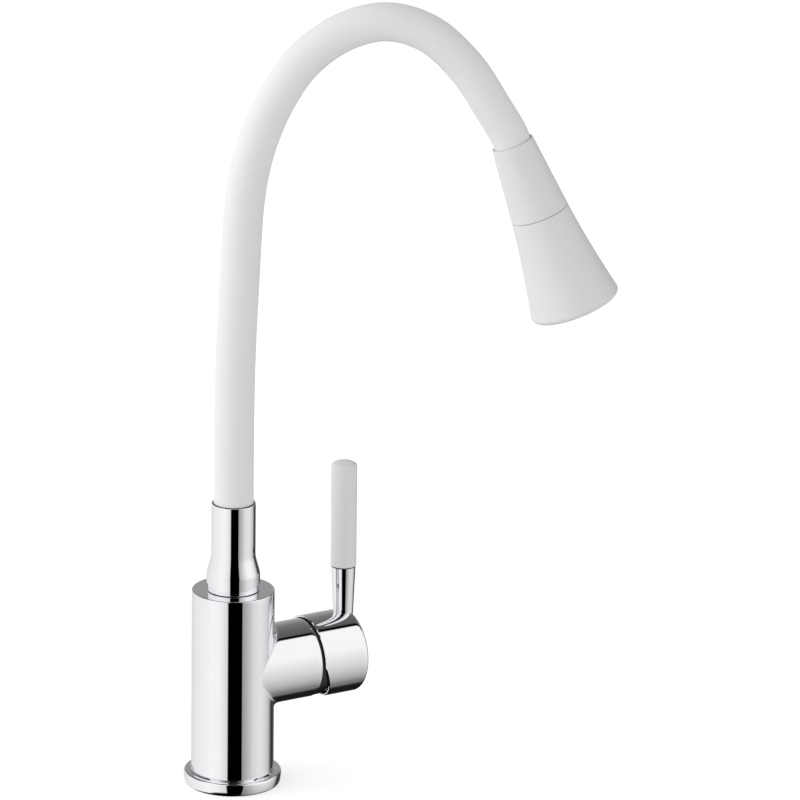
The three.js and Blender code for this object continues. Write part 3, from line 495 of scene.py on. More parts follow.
def arc(centre_radius, centre_level, radius, start, end, steps=ROUND_STEPS):
    """Outline points on a round corner, angles in degrees from outwards to up."""
    points = []
    for step in range(steps + 1):
        angle = math.radians(start + (end - start) * step / steps)
        across = centre_radius + radius * math.cos(angle)
        points.append((across, centre_level + radius * math.sin(angle)))
    return points


def held(outline):
    """The outline with holding points inside both ends of each long stretch."""
    points = [outline[0]]
    for before, after in zip(outline, outline[1:]):
        start, end = Vector(before), Vector(after)
        length = (end - start).length
        if length > 3 * HOLD:
            points.append(tuple(start.lerp(end, HOLD / length)))
            points.append(tuple(end.lerp(start, HOLD / length)))
        points.append(after)
    return points


def ring_points(radius, level, segments):
    angles = [TURN * at / segments for at in range(segments)]
    return [(radius * math.cos(angle), radius * math.sin(angle), level) for angle in angles]


def add_turned(bm, outline, segments):
    closed = outline[0][0] > 0 or outline[-1][0] > 0
    path = held(outline + outline[:1]) if closed else held(outline)
    sheet(bm, [ring_points(radius, level, segments) for radius, level in path])


def turned(name, outline, placement, material, segments=FINE_TURN):
    bm = bmesh.new()
    add_turned(bm, outline, segments)
    return make_piece(name, bm, placement, material)


def dress(piece, body, node):
    """Hangs a piece on the body it rides with and hides the solid that it stands for."""
    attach(piece, body)
    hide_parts(node)
    print(piece.name, "faces:", len(piece.data.polygons))


def hide_from_mirrors(piece):
    """The picture's chrome shows neither stick nor head. Leaving them out is a liberty:
    real chrome would mirror both."""
    piece.visible_glossy = False


UPRIGHT = Matrix.Identity(4)
print("lathe ready")

# %% [markdown]
# ## Foot ring
# The ring is a heavy turned washer that the body drops into. A small bevel rises to the body,
# the top edge is rounded, and the side bulges a little and draws in towards the deck, which
# is why its reflection darkens downwards. A rubber seal lies in a groove beneath. Both
# outlines are spun.

# %% Turn the foot ring and its seal
SEAT_GAP = 0.3
HAIRLINE = 0.05
RING_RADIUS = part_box("base_ring")[1].x / MM
RING_SOLE = HAIRLINE
RING_TOP = 7.9
RING_SEAT = 8.55
BODY_RADIUS = 23.8
FOOT_RADIUS = 21.3
BEVEL_RADIUS = 25.2
RING_TOP_ROUNDING = 1.6
RING_BULGE = 20.0
RING_BULGE_TURN = 15.6
RING_BOTTOM_ROUNDING = 1.4
RING_SOLE_TURN = 85
RING_STEPS = 12
BOTTOM_STEPS = 10
BULGE_MIDDLE = RING_RADIUS - RING_BULGE
BULGE_LEVEL = RING_TOP - RING_TOP_ROUNDING
bulge_end = math.radians(RING_BULGE_TURN)
BOTTOM_MIDDLE = BULGE_MIDDLE + (RING_BULGE - RING_BOTTOM_ROUNDING) * math.cos(bulge_end)
SEAL_INSET = 2.25
SEAL_WIDTH = 4
SEAL_OUTER = RING_RADIUS - SEAL_INSET
SEAL_INNER = SEAL_OUTER - SEAL_WIDTH
SEAL_HEIGHT = 2.0

foot_ring_outline = [
    (FOOT_RADIUS + SEAT_GAP, RING_SOLE),
    (SEAL_INNER - SEAT_GAP, RING_SOLE),
    (SEAL_INNER - SEAT_GAP, SEAL_HEIGHT + SEAT_GAP),
    (SEAL_OUTER + SEAT_GAP / 2, SEAL_HEIGHT + SEAT_GAP),
    (SEAL_OUTER + SEAT_GAP / 2, RING_SOLE),
    *arc(BOTTOM_MIDDLE, RING_SOLE + RING_BOTTOM_ROUNDING, RING_BOTTOM_ROUNDING,
         -RING_SOLE_TURN, -RING_BULGE_TURN, BOTTOM_STEPS),
    *arc(BULGE_MIDDLE, BULGE_LEVEL, RING_BULGE, -RING_BULGE_TURN, 0, RING_STEPS)[1:],
    *arc(RING_RADIUS - RING_TOP_ROUNDING, BULGE_LEVEL, RING_TOP_ROUNDING,
         0, 90, RING_STEPS)[1:],
    (BEVEL_RADIUS, RING_TOP),
    (BODY_RADIUS + HAIRLINE, RING_SEAT),
    (FOOT_RADIUS + SEAT_GAP, RING_SEAT),
]
foot_ring = turned("foot_ring", foot_ring_outline, UPRIGHT, chrome)
dress(foot_ring, "deck_body", "base_ring")

SEAL_EDGE = 0.3
foot_seal_outline = [
    (SEAL_INNER + SEAL_EDGE, 0),
    (SEAL_OUTER - SEAL_EDGE, 0),
    (SEAL_OUTER, SEAL_EDGE),
    (SEAL_OUTER, SEAL_HEIGHT - SEAL_EDGE),
    (SEAL_OUTER - SEAL_EDGE, SEAL_HEIGHT),
    (SEAL_INNER + SEAL_EDGE, SEAL_HEIGHT),
    (SEAL_INNER, SEAL_HEIGHT - SEAL_EDGE),
    (SEAL_INNER, SEAL_EDGE),
]
foot_seal = turned("foot_seal", foot_seal_outline, UPRIGHT, black_rubber)
dress(foot_seal, "deck_body", "base_seal")

# %% [markdown]
# ## Walls with a branch
# Two pieces are more than a spun outline: the body has a side housing that grows out of it,
# and the lever cap has a stub on top. A boolean would leave a ragged seam that chrome shows
# at once. Here the wall is a grid round its axis, a block of the grid is left out, and rays of
# points run from the block's border to the hole and on over the branch, so the quads flow
# from one form into the other.

# %% Build walls with windows for their branches
GRID_STEP = 3
GRID_ANGLES = [math.radians(GRID_STEP * at - 90) for at in range(360 // GRID_STEP)]
RAY_STEPS = 9
FILLET_STEPS = 9
TUBE_STEPS = 14


def window(first_degree, last_degree, first_row, last_row, ray):
    return {
        "angles": ((first_degree + 90) // GRID_STEP, (last_degree + 90) // GRID_STEP),
        "rows": (first_row, last_row),
        "ray": ray,
    }


def border_of(hole):
    """Grid corners once round a window."""
    (left, right), (low, high) = hole["angles"], hole["rows"]
    corners = [(at, low) for at in range(left, right)]
    corners += [(right, at) for at in range(low, high)]
    corners += [(at, high) for at in range(right, left, -1)]
    corners += [(left, at) for at in range(high, low, -1)]
    return corners


def pierced_wall(bm, row_count, corner, holes):
    """A wall of quads round the axis, with rays of points in place of each window."""
    left_out = set()
    for hole in holes:
        (left, right), (low, high) = hole["angles"], hole["rows"]
        left_out |= {(at, row) for at in range(left, right) for row in range(low, high)}
    count = len(GRID_ANGLES)
    grid = [[bm.verts.new(corner(at, row)) for row in range(row_count)] for at in range(count)]
    for at in range(count):
        after = (at + 1) % count
        for row in range(row_count - 1):
            if (at, row) not in left_out:
                bm.faces.new(
                    (grid[at][row], grid[after][row], grid[after][row + 1], grid[at][row + 1])
                )
    for hole in holes:
        rays = [hole["ray"](at, row) for at, row in border_of(hole)]
        sheet(bm, rays, closed_rows=False, closed_stack=True)


def flat_fill(bm, loops):
    """Fills a flat outline round its holes."""
    edges = []
    for loop in loops:
        corners = [bm.verts.new(point) for point in loop]
        edges += [bm.edges.new(pair) for pair in zip(corners, corners[1:] + corners[:1])]
    bmesh.ops.triangle_fill(bm, use_beauty=True, use_dissolve=False, edges=edges)


print("grid of", len(GRID_ANGLES), "columns ready")

# %% [markdown]
# ## Body
# The body is a brass casting, machined and plated: a plain column, and a housing for the
# cartridge that leaves it sideways. Between the two runs a fillet, the surface that a ball
# leaves when it rolls round the join and touches both cylinders. Its centre at each bearing is
# known from both radii, so the fillet is exact and its edges meet both walls without a crease.

# %% Shape the body
lever_axis = next(j for j in frame["joints"] if j["name"] == "lever_temperature")["axis"]
LEVER_BEARING = math.atan2(lever_axis[1], lever_axis[0])
LEVER_HEIGHT = 67.5
BODY_HEIGHT = 117.1
BODY_EDGE = 0.8
BODY_FOOT_CHAMFER = 0.1
BODY_SHOULDER = RING_SEAT + HAIRLINE
HOUSING_RADIUS = 23.0
HOUSING_REACH = 46.6
HOUSING_EDGE = 0.5
HOUSING_FILLET = 3.2
NUT_BORE_RADIUS = 19.8
NUT_BORE_DEPTH = 41.3
CARTRIDGE_BORE_RADIUS = 17.6
CARTRIDGE_FLOOR = 20.0
WELL_RADIUS = 9.3
WELL_FLOOR = BODY_HEIGHT - 32.0
LOCK_SCREW_BEARING = math.radians(150)
LOCK_SCREW_LEVEL = BODY_HEIGHT - 16.0
LOCK_HOLE_RADIUS = 2.3
LOCK_HOLE_FLOOR = 10.5
BODY_ROW = 1.5
ROWS_BELOW, ROWS_ABOVE = 37, 32
HOUSING_WINDOW_HALF = 84
HOUSING_WINDOW_LEVELS = (36.5, 99.5)
LOCK_WINDOW_HALF = 12
LOCK_WINDOW_LEVELS = (95, 107)
LEVER_PLACE = (
    Matrix.Translation((0, 0, LEVER_HEIGHT)) @ Matrix.Rotation(LEVER_BEARING, 4, "Z")
)
BODY_PLACE = Matrix.Rotation(LEVER_BEARING, 4, "Z")

body_rows = [BODY_SHOULDER + BODY_FOOT_CHAMFER]
body_rows += [LEVER_HEIGHT + BODY_ROW * at for at in range(-ROWS_BELOW, ROWS_ABOVE)]
body_rows += [BODY_HEIGHT - BODY_EDGE]


def row_near(level):
    return min(range(len(body_rows)), key=lambda row: abs(body_rows[row] - level))


def on_body(angle, level, radius=BODY_RADIUS):
    return Vector((radius * math.cos(angle), radius * math.sin(angle), level))


def body_corner(at, row):
    return on_body(GRID_ANGLES[at], body_rows[row])


def along(start, end, steps):
    """Points from start to end, end included."""
    return [start.lerp(end, step / steps) for step in range(steps + 1)]


def across_wall(start, end):
    """Points over the body's wall from one (angle, level) to another."""
    return [on_body(*pair) for pair in along(Vector(start), Vector(end), RAY_STEPS)]


def swung(start, end, share):
    """The spoke of a ball part of the way from one spoke to another."""
    turn = start.angle(end)
    first = math.sin((1 - share) * turn) / math.sin(turn)
    return start * first + end * (math.sin(share * turn) / math.sin(turn))


def housing_ray(at, row):
    """From the window's border over the fillet, along the housing and into its bore."""
    angle, level = GRID_ANGLES[at], body_rows[row]
    spoke = math.atan2(BODY_RADIUS * angle, level - LEVER_HEIGHT)
    outward = Vector((0, math.sin(spoke), math.cos(spoke)))
    ball = outward * (HOUSING_RADIUS + HOUSING_FILLET)
    ball.x = math.sqrt((BODY_RADIUS + HOUSING_FILLET) ** 2 - ball.y ** 2)
    hole_angle = math.atan2(ball.y, ball.x)
    points = across_wall((angle, level), (hole_angle, ball.z + LEVER_HEIGHT))
    lift = Vector((0, 0, LEVER_HEIGHT))
    on_housing = outward * HOUSING_RADIUS + Vector((ball.x, 0, 0))
    start = points[-1] - lift - ball
    end = on_housing - ball
    for step in range(1, FILLET_STEPS + 1):
        points.append(ball + swung(start, end, step / FILLET_STEPS) + lift)
    straight_end = HOUSING_REACH - HOUSING_EDGE
    for step in range(1, TUBE_STEPS + 1):
        reach = ball.x + (straight_end - ball.x) * step / TUBE_STEPS
        points.append(outward * HOUSING_RADIUS + Vector((reach, 0, 0)) + lift)
    mouth = [
        *arc(HOUSING_RADIUS - HOUSING_EDGE, straight_end, HOUSING_EDGE, 0, 90)[1:],
        (NUT_BORE_RADIUS, HOUSING_REACH),
        (NUT_BORE_RADIUS, NUT_BORE_DEPTH),
        (CARTRIDGE_BORE_RADIUS, NUT_BORE_DEPTH),
        (CARTRIDGE_BORE_RADIUS, CARTRIDGE_FLOOR),
        (0, CARTRIDGE_FLOOR),
    ]
    for radius, reach in held(mouth):
        points.append(outward * radius + Vector((reach, 0, 0)) + lift)
    return points


def lock_hole_ray(at, row):
    """From the window's border into the small hole for the lock screw."""
    angle, level = GRID_ANGLES[at], body_rows[row]
    middle = LOCK_SCREW_BEARING - LEVER_BEARING
    spoke = math.atan2(level - LOCK_SCREW_LEVEL, BODY_RADIUS * (angle - middle))
    rim_angle = middle + LOCK_HOLE_RADIUS * math.cos(spoke) / BODY_RADIUS
    rim_level = LOCK_SCREW_LEVEL + LOCK_HOLE_RADIUS * math.sin(spoke)
    points = across_wall((angle, level), (rim_angle, rim_level))
    points.append(on_body(rim_angle, rim_level, LOCK_HOLE_FLOOR))
    points.append(on_body(middle, LOCK_SCREW_LEVEL, LOCK_HOLE_FLOOR))
    return points


def grid_ring(radius, level):
    return [on_body(angle, level, radius) for angle in GRID_ANGLES]


def round_hole(middle_x, middle_y, radius, level, sides=40):
    ring = ring_points(radius, level, sides)
    return [(x + middle_x, y + middle_y, z) for x, y, z in ring]


INLET_FORWARD = 4.0
INLET_ACROSS = 7.8
INLET_RADIUS = 4.7
INLET_DEPTH = 14.0
STUD_FORWARD = -11.0
STUD_RADIUS = 3.9
STUD_DEPTH = 18.0
under_holes = [
    (INLET_FORWARD, INLET_ACROSS, INLET_RADIUS, INLET_DEPTH),
    (INLET_FORWARD, -INLET_ACROSS, INLET_RADIUS, INLET_DEPTH),
    (STUD_FORWARD, 0.0, STUD_RADIUS, STUD_DEPTH),
]


def body_skin():
    bm = bmesh.new()
    lock_degree = math.degrees(LOCK_SCREW_BEARING - LEVER_BEARING)
    lock_middle = int(GRID_STEP * round(lock_degree / GRID_STEP))
    housing_rows = [row_near(level) for level in HOUSING_WINDOW_LEVELS]
    lock_rows = [row_near(level) for level in LOCK_WINDOW_LEVELS]
    lock_sides = (lock_middle - LOCK_WINDOW_HALF, lock_middle + LOCK_WINDOW_HALF)
    holes = [
        window(-HOUSING_WINDOW_HALF, HOUSING_WINDOW_HALF, *housing_rows, housing_ray),
        window(*lock_sides, *lock_rows, lock_hole_ray),
    ]
    pierced_wall(bm, len(body_rows), body_corner, holes)
    top = [
        *arc(BODY_RADIUS - BODY_EDGE, BODY_HEIGHT - BODY_EDGE, BODY_EDGE, 0, 90),
        (WELL_RADIUS, BODY_HEIGHT),
        (WELL_RADIUS, WELL_FLOOR),
        (0, WELL_FLOOR),
    ]
    foot = [
        (BODY_RADIUS, body_rows[0]),
        (BODY_RADIUS - BODY_FOOT_CHAMFER, BODY_SHOULDER),
        (FOOT_RADIUS, BODY_SHOULDER),
        (FOOT_RADIUS, 0),
    ]
    for outline in (top, foot):
        sheet(bm, [grid_ring(radius, level) for radius, level in held(outline)])
    rims = [round_hole(x, y, radius, 0) for x, y, radius, _ in under_holes]
    flat_fill(bm, [grid_ring(FOOT_RADIUS, 0), *rims])
    for x, y, radius, depth in under_holes:
        rings = [round_hole(x, y, radius, level) for level in (0, depth)]
        sheet(bm, [*rings, round_hole(x, y, 0, depth)])
    return bm


body = make_piece("body", body_skin(), BODY_PLACE, chrome)
dress(body, "deck_body", "body_casting")

# %% [markdown]
# ## Lever cap
# The cap is a cup over the ball joint. Below the axis its rear rim is cut back at a slant of
# 19 degrees. With the gap at the rim that is enough for the cup to tip by 20 degrees. A tapered
# stub carries the stick. The wall is again a grid round the lever's axis: each column starts
# where the relieved rim is at that bearing, and the last rows run over the rounded end, because
# the stub's foot stands partly on that rounding.

# %% Shape the lever cap
CAP_RADIUS = 24.3
CAP_WALL = 1.1
CAP_BORE = CAP_RADIUS - CAP_WALL
RIM_GAP = 1.35
CAP_START = HOUSING_REACH + RIM_GAP
CAP_END = 77.1
CAP_END_WALL = 3.0
CAP_EDGE = 2.4
CAP_RIM_CHAMFER = 0.3
RELIEF_START = 0.5
RELIEF_SLOPE = 0.345
BOSS_RADIUS = 9.0
BOSS_START = 58.5
STICK_REACH = 73.0
STUB_BASE_RADIUS = 5.85
STUB_FOOT_FLARE = 0.12
STUB_TOP_RADIUS = 7.05
STUB_TOP = 119.0 - LEVER_HEIGHT
STUB_CHAMFER = 0.2
FOOT_HOLD = 0.985
ROD_SEAT_RADIUS = 3.3
ROD_SEAT_DEPTH = 14.0
GRUB_REACH = 66.0
GRUB_HOLE_RADIUS = 2.8
GRUB_HOLE_FLOOR = 18.2
CAP_ROWS = 18
CAP_EDGE_STEPS = 9
STUB_WINDOW_HALF = 18
STUB_WINDOW_ROW = 9
GRUB_WINDOW = (168, 192, 3, 14)
CAP_WALL_END = CAP_END - CAP_EDGE


def rim_reach(height):
    """How far out the rim lies at a height from the axis."""
    return CAP_START + RELIEF_SLOPE * max(0.0, RELIEF_START - height)


def cap_radius_at(reach):
    over = max(0.0, reach - CAP_WALL_END)
    return CAP_RADIUS - CAP_EDGE + math.sqrt(max(0.0, CAP_EDGE ** 2 - over ** 2))


def cap_reach(at, row):
    """Reach of a grid corner: along the wall first, then over the rounded end."""
    if row > CAP_ROWS:
        share = (row - CAP_ROWS) / CAP_EDGE_STEPS
        return CAP_WALL_END + CAP_EDGE * math.sin(share * math.pi / 2)
    start = rim_reach(CAP_RADIUS * math.cos(GRID_ANGLES[at])) + CAP_RIM_CHAMFER
    return start + (CAP_WALL_END - start) * row / CAP_ROWS


def on_cap(angle, reach, radius=None):
    """A point at a bearing from straight up, as (reach, across, height)."""
    size = cap_radius_at(reach) if radius is None else radius
    return Vector((reach, size * math.sin(angle), size * math.cos(angle)))


def cap_corner(at, row):
    if row == CAP_ROWS + CAP_EDGE_STEPS:
        return on_cap(GRID_ANGLES[at], CAP_END, CAP_RADIUS - CAP_EDGE)
    return on_cap(GRID_ANGLES[at], cap_reach(at, row))


def stub_height(reach, across):
    return math.sqrt(cap_radius_at(reach) ** 2 - across ** 2)


def stub_ray(at, row):
    """From the window's border up the stub and down into the seat of the rod."""
    angle, reach = GRID_ANGLES[at], cap_reach(at, row)
    spoke = math.atan2(CAP_RADIUS * angle, reach - STICK_REACH)
    outward = Vector((math.cos(spoke), math.sin(spoke), 0))
    foot = outward * (STUB_BASE_RADIUS + STUB_FOOT_FLARE)
    foot_reach = STICK_REACH + foot.x
    foot_height = stub_height(foot_reach, foot.y)
    foot_angle = math.asin(foot.y / cap_radius_at(foot_reach))
    border, rim = Vector((angle, reach)), Vector((foot_angle, foot_reach))
    pairs = [*along(border, rim, RAY_STEPS)[:-1], border.lerp(rim, FOOT_HOLD), rim]
    points = [on_cap(*pair) for pair in pairs]
    middle = Vector((STICK_REACH, 0, 0))
    for step in range(1, ROUND_STEPS + 1):
        turn = math.pi / 2 * step / ROUND_STEPS
        radius = STUB_BASE_RADIUS + STUB_FOOT_FLARE * (1 - math.sin(turn))
        height = foot_height + STUB_FOOT_FLARE * (1 - math.cos(turn))
        points.append(middle + outward * radius + Vector((0, 0, height)))
    top = STUB_TOP - STUB_CHAMFER
    start = points[-1].z
    for step in range(TUBE_STEPS + 1):
        share = step / TUBE_STEPS if step else 1 - FOOT_HOLD
        radius = STUB_BASE_RADIUS + (STUB_TOP_RADIUS - STUB_BASE_RADIUS) * share
        height = start + (top - start) * share
        points.append(middle + outward * radius + Vector((0, 0, height)))
    end = [
        (STUB_TOP_RADIUS, top),
        (STUB_TOP_RADIUS - STUB_CHAMFER, STUB_TOP),
        (ROD_SEAT_RADIUS, STUB_TOP),
        (ROD_SEAT_RADIUS, STUB_TOP - ROD_SEAT_DEPTH),
        (0, STUB_TOP - ROD_SEAT_DEPTH),
    ]
    for radius, height in held(end)[1:]:
        points.append(middle + outward * radius + Vector((0, 0, height)))
    return points


def grub_hole_ray(at, row):
    """From the window's border into the hole for the clamping screw, under the cap."""
    angle, reach = GRID_ANGLES[at], cap_reach(at, row)
    spoke = math.atan2(CAP_RADIUS * (angle - math.pi), reach - GRUB_REACH)
    rim_reach_here = GRUB_REACH + GRUB_HOLE_RADIUS * math.cos(spoke)
    rim_angle = math.pi + GRUB_HOLE_RADIUS * math.sin(spoke) / CAP_RADIUS
    pairs = along(Vector((angle, reach)), Vector((rim_angle, rim_reach_here)), RAY_STEPS)
    points = [on_cap(*pair) for pair in pairs]
    points.append(on_cap(rim_angle, rim_reach_here, GRUB_HOLE_FLOOR))
    points.append(on_cap(math.pi, GRUB_REACH, GRUB_HOLE_FLOOR))
    return points


def cap_ring(radius, reach):
    return [on_cap(angle, reach, radius) for angle in GRID_ANGLES]


def cap_skin():
    bm = bmesh.new()
    last_row = CAP_ROWS + CAP_EDGE_STEPS
    holes = [
        window(-STUB_WINDOW_HALF, STUB_WINDOW_HALF, STUB_WINDOW_ROW, last_row - 1, stub_ray),
        window(*GRUB_WINDOW, grub_hole_ray),
    ]
    pierced_wall(bm, last_row + 1, cap_corner, holes)
    flat = CAP_RADIUS - CAP_EDGE
    sheet(bm, [cap_ring(radius, CAP_END) for radius in (flat, flat - HOLD, 0)])
    outer_rim, mid_rim, inner_rim = [], [], []
    for at, angle in enumerate(GRID_ANGLES):
        outer_rim.append(cap_corner(at, 0))
        lip = CAP_RADIUS - CAP_RIM_CHAMFER
        mid_rim.append(on_cap(angle, rim_reach(lip * math.cos(angle)), lip))
        inner_rim.append(on_cap(angle, rim_reach(CAP_BORE * math.cos(angle)), CAP_BORE))
    inside = [
        (CAP_BORE, CAP_END - CAP_END_WALL),
        (BOSS_RADIUS, CAP_END - CAP_END_WALL),
        (BOSS_RADIUS, BOSS_START),
        (0, BOSS_START),
    ]
    rows = [cap_ring(radius, reach) for radius, reach in held(inside)]
    sheet(bm, [outer_rim, mid_rim, inner_rim, *rows])
    return bm


lever_cap = make_piece("lever_cup", cap_skin(), LEVER_PLACE, chrome)
dress(lever_cap, "lever", "lever_cap")

# %% [markdown]
# ## Ball cover, plug and stick
# The black cover is a slice of a ball about the lever's pivot, so the cup slides over it
# without touching. The stick is a steel rod inside a white sleeve whose end is a shallow
# dome. A thin rubber washer under the sleeve is the dark line in the picture. All are spun
# outlines, laid along the lever's axis or stood on the stub.

# %% Turn the ball cover, the plug and the sleeve
PIVOT_REACH = 48.7
DOME_RADIUS = 22.6
DOME_WALL = 1.6
DOME_START = HOUSING_REACH + SEAT_GAP
DOME_END = 59.0
DOME_STEPS = 16
ALONG_LEVER = LEVER_PLACE @ Matrix.Rotation(math.pi / 2, 4, "Y")


def ball_slice(radius, start, end, steps):
    points = []
    for step in range(steps + 1):
        reach = start + (end - start) * step / steps
        points.append((math.sqrt(radius ** 2 - (reach - PIVOT_REACH) ** 2), reach))
    return points


dome_outline = [
    *ball_slice(DOME_RADIUS, DOME_START, DOME_END, DOME_STEPS),
    *reversed(ball_slice(DOME_RADIUS - DOME_WALL, DOME_START, DOME_END, DOME_STEPS)),
]
ball_cover = turned("ball_cover", dome_outline, ALONG_LEVER, black_gloss)
dress(ball_cover, "deck_body", "dome_cover")

PLUG_RADIUS = 2.5
PLUG_LENGTH = 1.4
PLUG_EDGE = 0.35
PLUG_FACE = -CAP_RADIUS + SEAT_GAP
plug_outline = [
    (0, PLUG_FACE + PLUG_LENGTH),
    (PLUG_RADIUS, PLUG_FACE + PLUG_LENGTH),
    *arc(PLUG_RADIUS - PLUG_EDGE, PLUG_FACE + PLUG_EDGE, PLUG_EDGE, 0, -90),
    (0, PLUG_FACE),
]
plug_place = LEVER_PLACE @ Matrix.Translation((GRUB_REACH, 0, 0))
screw_plug = turned("screw_plug", plug_outline, plug_place, chrome, COARSE_TURN)
dress(screw_plug, "lever", "grub_plug")

SLEEVE_RADIUS = 7.5
SLEEVE_GAP = 0.55
SLEEVE_FOOT = STUB_TOP + SLEEVE_GAP
SLEEVE_TOP = 182.7 - LEVER_HEIGHT
SLEEVE_DOME = 3.0
SLEEVE_DOME_STEPS = 24
SLEEVE_EDGE = 0.3
ROD_LENGTH = 58.6
ROD_TOP = STUB_TOP - ROD_SEAT_DEPTH + ROD_LENGTH
dome_points = []
for step in range(SLEEVE_DOME_STEPS + 1):
    turn = math.pi / 2 * step / SLEEVE_DOME_STEPS
    rise = SLEEVE_DOME * (math.sin(turn) - 1)
    dome_points.append((SLEEVE_RADIUS * math.cos(turn), SLEEVE_TOP + rise))
dome_points[-1] = (0, SLEEVE_TOP)
sleeve_outline = [
    (0, ROD_TOP),
    (ROD_SEAT_RADIUS, ROD_TOP),
    (ROD_SEAT_RADIUS, SLEEVE_FOOT),
    *arc(SLEEVE_RADIUS - SLEEVE_EDGE, SLEEVE_FOOT + SLEEVE_EDGE, SLEEVE_EDGE, -90, 0),
    *dome_points,
]
STICK_PLACE = LEVER_PLACE @ Matrix.Translation((STICK_REACH, 0, 0))
stick_sleeve = turned("stick_sleeve", sleeve_outline, STICK_PLACE, matt_white, MEDIUM_TURN)
hide_from_mirrors(stick_sleeve)
dress(stick_sleeve, "lever", "lever_sleeve")

STICK_WASHER_RADIUS = 7.1
washer_outline = [
    (ROD_SEAT_RADIUS + SEAT_GAP, STUB_TOP + HAIRLINE),
    (STICK_WASHER_RADIUS, STUB_TOP + HAIRLINE),
    (STICK_WASHER_RADIUS, SLEEVE_FOOT - HAIRLINE),
    (ROD_SEAT_RADIUS + SEAT_GAP, SLEEVE_FOOT - HAIRLINE),
]
stick_washer = turned("stick_washer", washer_outline, STICK_PLACE, black_rubber, MEDIUM_TURN)
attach(stick_washer, "lever")

# %% [markdown]
# ## Collar
# The spout stands in a chrome collar that turns on the body. It is wider at the foot, draws
# in over a short waist, and ends in a straight neck that the arch drops into. The waist is an
# ease curve, level at both ends, so that it meets both cylinders softly. A black ring in the
# mouth, pressed a little into the soft skin of the arch, is painted shade: it stands in for
# the dark gap where the arch enters the collar.

# %% Turn the collar
COLLAR_FOOT = BODY_HEIGHT + SEAT_GAP
COLLAR_BASE_RADIUS = 15.4
COLLAR_TOP_RADIUS = 12.7
COLLAR_WAIST_START = BODY_HEIGHT + 9.3
COLLAR_WAIST_END = BODY_HEIGHT + 22.1
COLLAR_TOP = BODY_HEIGHT + 52.1
COLLAR_EDGE = 0.4
RISER_START = BODY_HEIGHT + 50.9
HOSE_START_RADIUS = 11.5
HOSE_END_RADIUS = 10.7
HOSE_FOOT = RISER_START - 17.7
SPIGOT_RADIUS = 9.0
WASHER_RADIUS = 14.3
WASHER_TOP = COLLAR_FOOT + 1.9
WAIST_STEPS = 30
WAIST_LOWER = 0.15
WAIST_UPPER = 0.3


def eased_cone(share):
    """A slope from 0 to 1, straight between two short bends."""
    slope = 1 / (1 - (WAIST_LOWER + WAIST_UPPER) / 2)
    if share < WAIST_LOWER:
        return slope * share * share / (2 * WAIST_LOWER)
    if share > 1 - WAIST_UPPER:
        return 1 - slope * (1 - share) ** 2 / (2 * WAIST_UPPER)
    return slope * (share - WAIST_LOWER / 2)


waist = []
for step in range(WAIST_STEPS + 1):
    share = step / WAIST_STEPS
    ease = eased_cone(share)
    waist_radius = COLLAR_BASE_RADIUS + (COLLAR_TOP_RADIUS - COLLAR_BASE_RADIUS) * ease
    waist_level = COLLAR_WAIST_START + (COLLAR_WAIST_END - COLLAR_WAIST_START) * share
    waist.append((waist_radius, waist_level))
collar_outline = [
    (WASHER_RADIUS, COLLAR_FOOT),
    *arc(COLLAR_BASE_RADIUS - COLLAR_EDGE, COLLAR_FOOT + COLLAR_EDGE, COLLAR_EDGE, -90, 0),
    *waist,
    *arc(COLLAR_TOP_RADIUS - COLLAR_EDGE, COLLAR_TOP - COLLAR_EDGE, COLLAR_EDGE, 0, 90),
    (HOSE_START_RADIUS + SEAT_GAP, COLLAR_TOP),
    (HOSE_START_RADIUS + SEAT_GAP, HOSE_FOOT),
    (SPIGOT_RADIUS + SEAT_GAP, HOSE_FOOT),
    (SPIGOT_RADIUS + SEAT_GAP, WASHER_TOP),
    (WASHER_RADIUS, WASHER_TOP),
]
collar = turned("collar", collar_outline, UPRIGHT, chrome)
dress(collar, "spout", "spout_collar")

# Painted shade: a black ring that stands in for the dark gap between the arch and the collar.
SHADE_RING_WIDTH = 0.45
SHADE_RING_RISE = 0.3
SHADE_RING_DEPTH = 1.0
SHADE_RING_SQUEEZE = 0.1
painted_shade_ring_outline = [
    (HOSE_START_RADIUS - SHADE_RING_SQUEEZE, COLLAR_TOP - SHADE_RING_DEPTH),
    (HOSE_START_RADIUS + SEAT_GAP, COLLAR_TOP - SHADE_RING_DEPTH),
    (HOSE_START_RADIUS + SEAT_GAP, COLLAR_TOP + HAIRLINE),
    (HOSE_START_RADIUS + SHADE_RING_WIDTH, COLLAR_TOP + SHADE_RING_SQUEEZE),
    (HOSE_START_RADIUS + SHADE_RING_WIDTH, COLLAR_TOP + SHADE_RING_RISE - SHADE_RING_SQUEEZE),
    (HOSE_START_RADIUS - SHADE_RING_SQUEEZE, COLLAR_TOP + SHADE_RING_RISE),
]
painted_shade_ring = turned("painted_shade_ring", painted_shade_ring_outline, UPRIGHT, black_rubber)
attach(painted_shade_ring, "spout")

# %% [markdown]
# ## The arch
# The spout is a hose in a stay-put arm in a soft skin. All three follow one line, which
# rises almost straight, rounds the crown and runs into the head along the head's own axis.
# The line is a Catmull-Rom curve with centripetal spacing, which passes through its points
# without loops. A tube is then a round section carried along it. When the head is pulled, the
# three tubes bend between the spout and the head; here they are made in their resting shape
# only.

# %% Carry tubes along the spout's line
HEAD_REACH = 155.4
HEAD_TOP = 384.2
HEAD_TILT = math.radians(21.4)
CROWN_RISE = 69.5
CROWN_HEIGHT = HEAD_TOP + CROWN_RISE
HOSE_LEAD = 5.0
HOSE_ENTRY = 8.0
LINE_STEPS = 18
riser_shares = [
    (0, 0.13),
    (0.004, 0.294),
    (0.017, 0.463),
    (0.038, 0.645),
    (0.076, 0.744),
    (0.144, 0.837),
    (0.244, 0.919),
    (0.384, 0.977),
    (0.54, 1),
]
fall_shares = [
    (0.692, 0.906),
    (0.83, 0.627),
    (0.929, 0.289),
]


def on_head_axis(distance):
    forward = HEAD_REACH + distance * math.sin(HEAD_TILT)
    return Vector((forward, 0, HEAD_TOP - distance * math.cos(HEAD_TILT)))


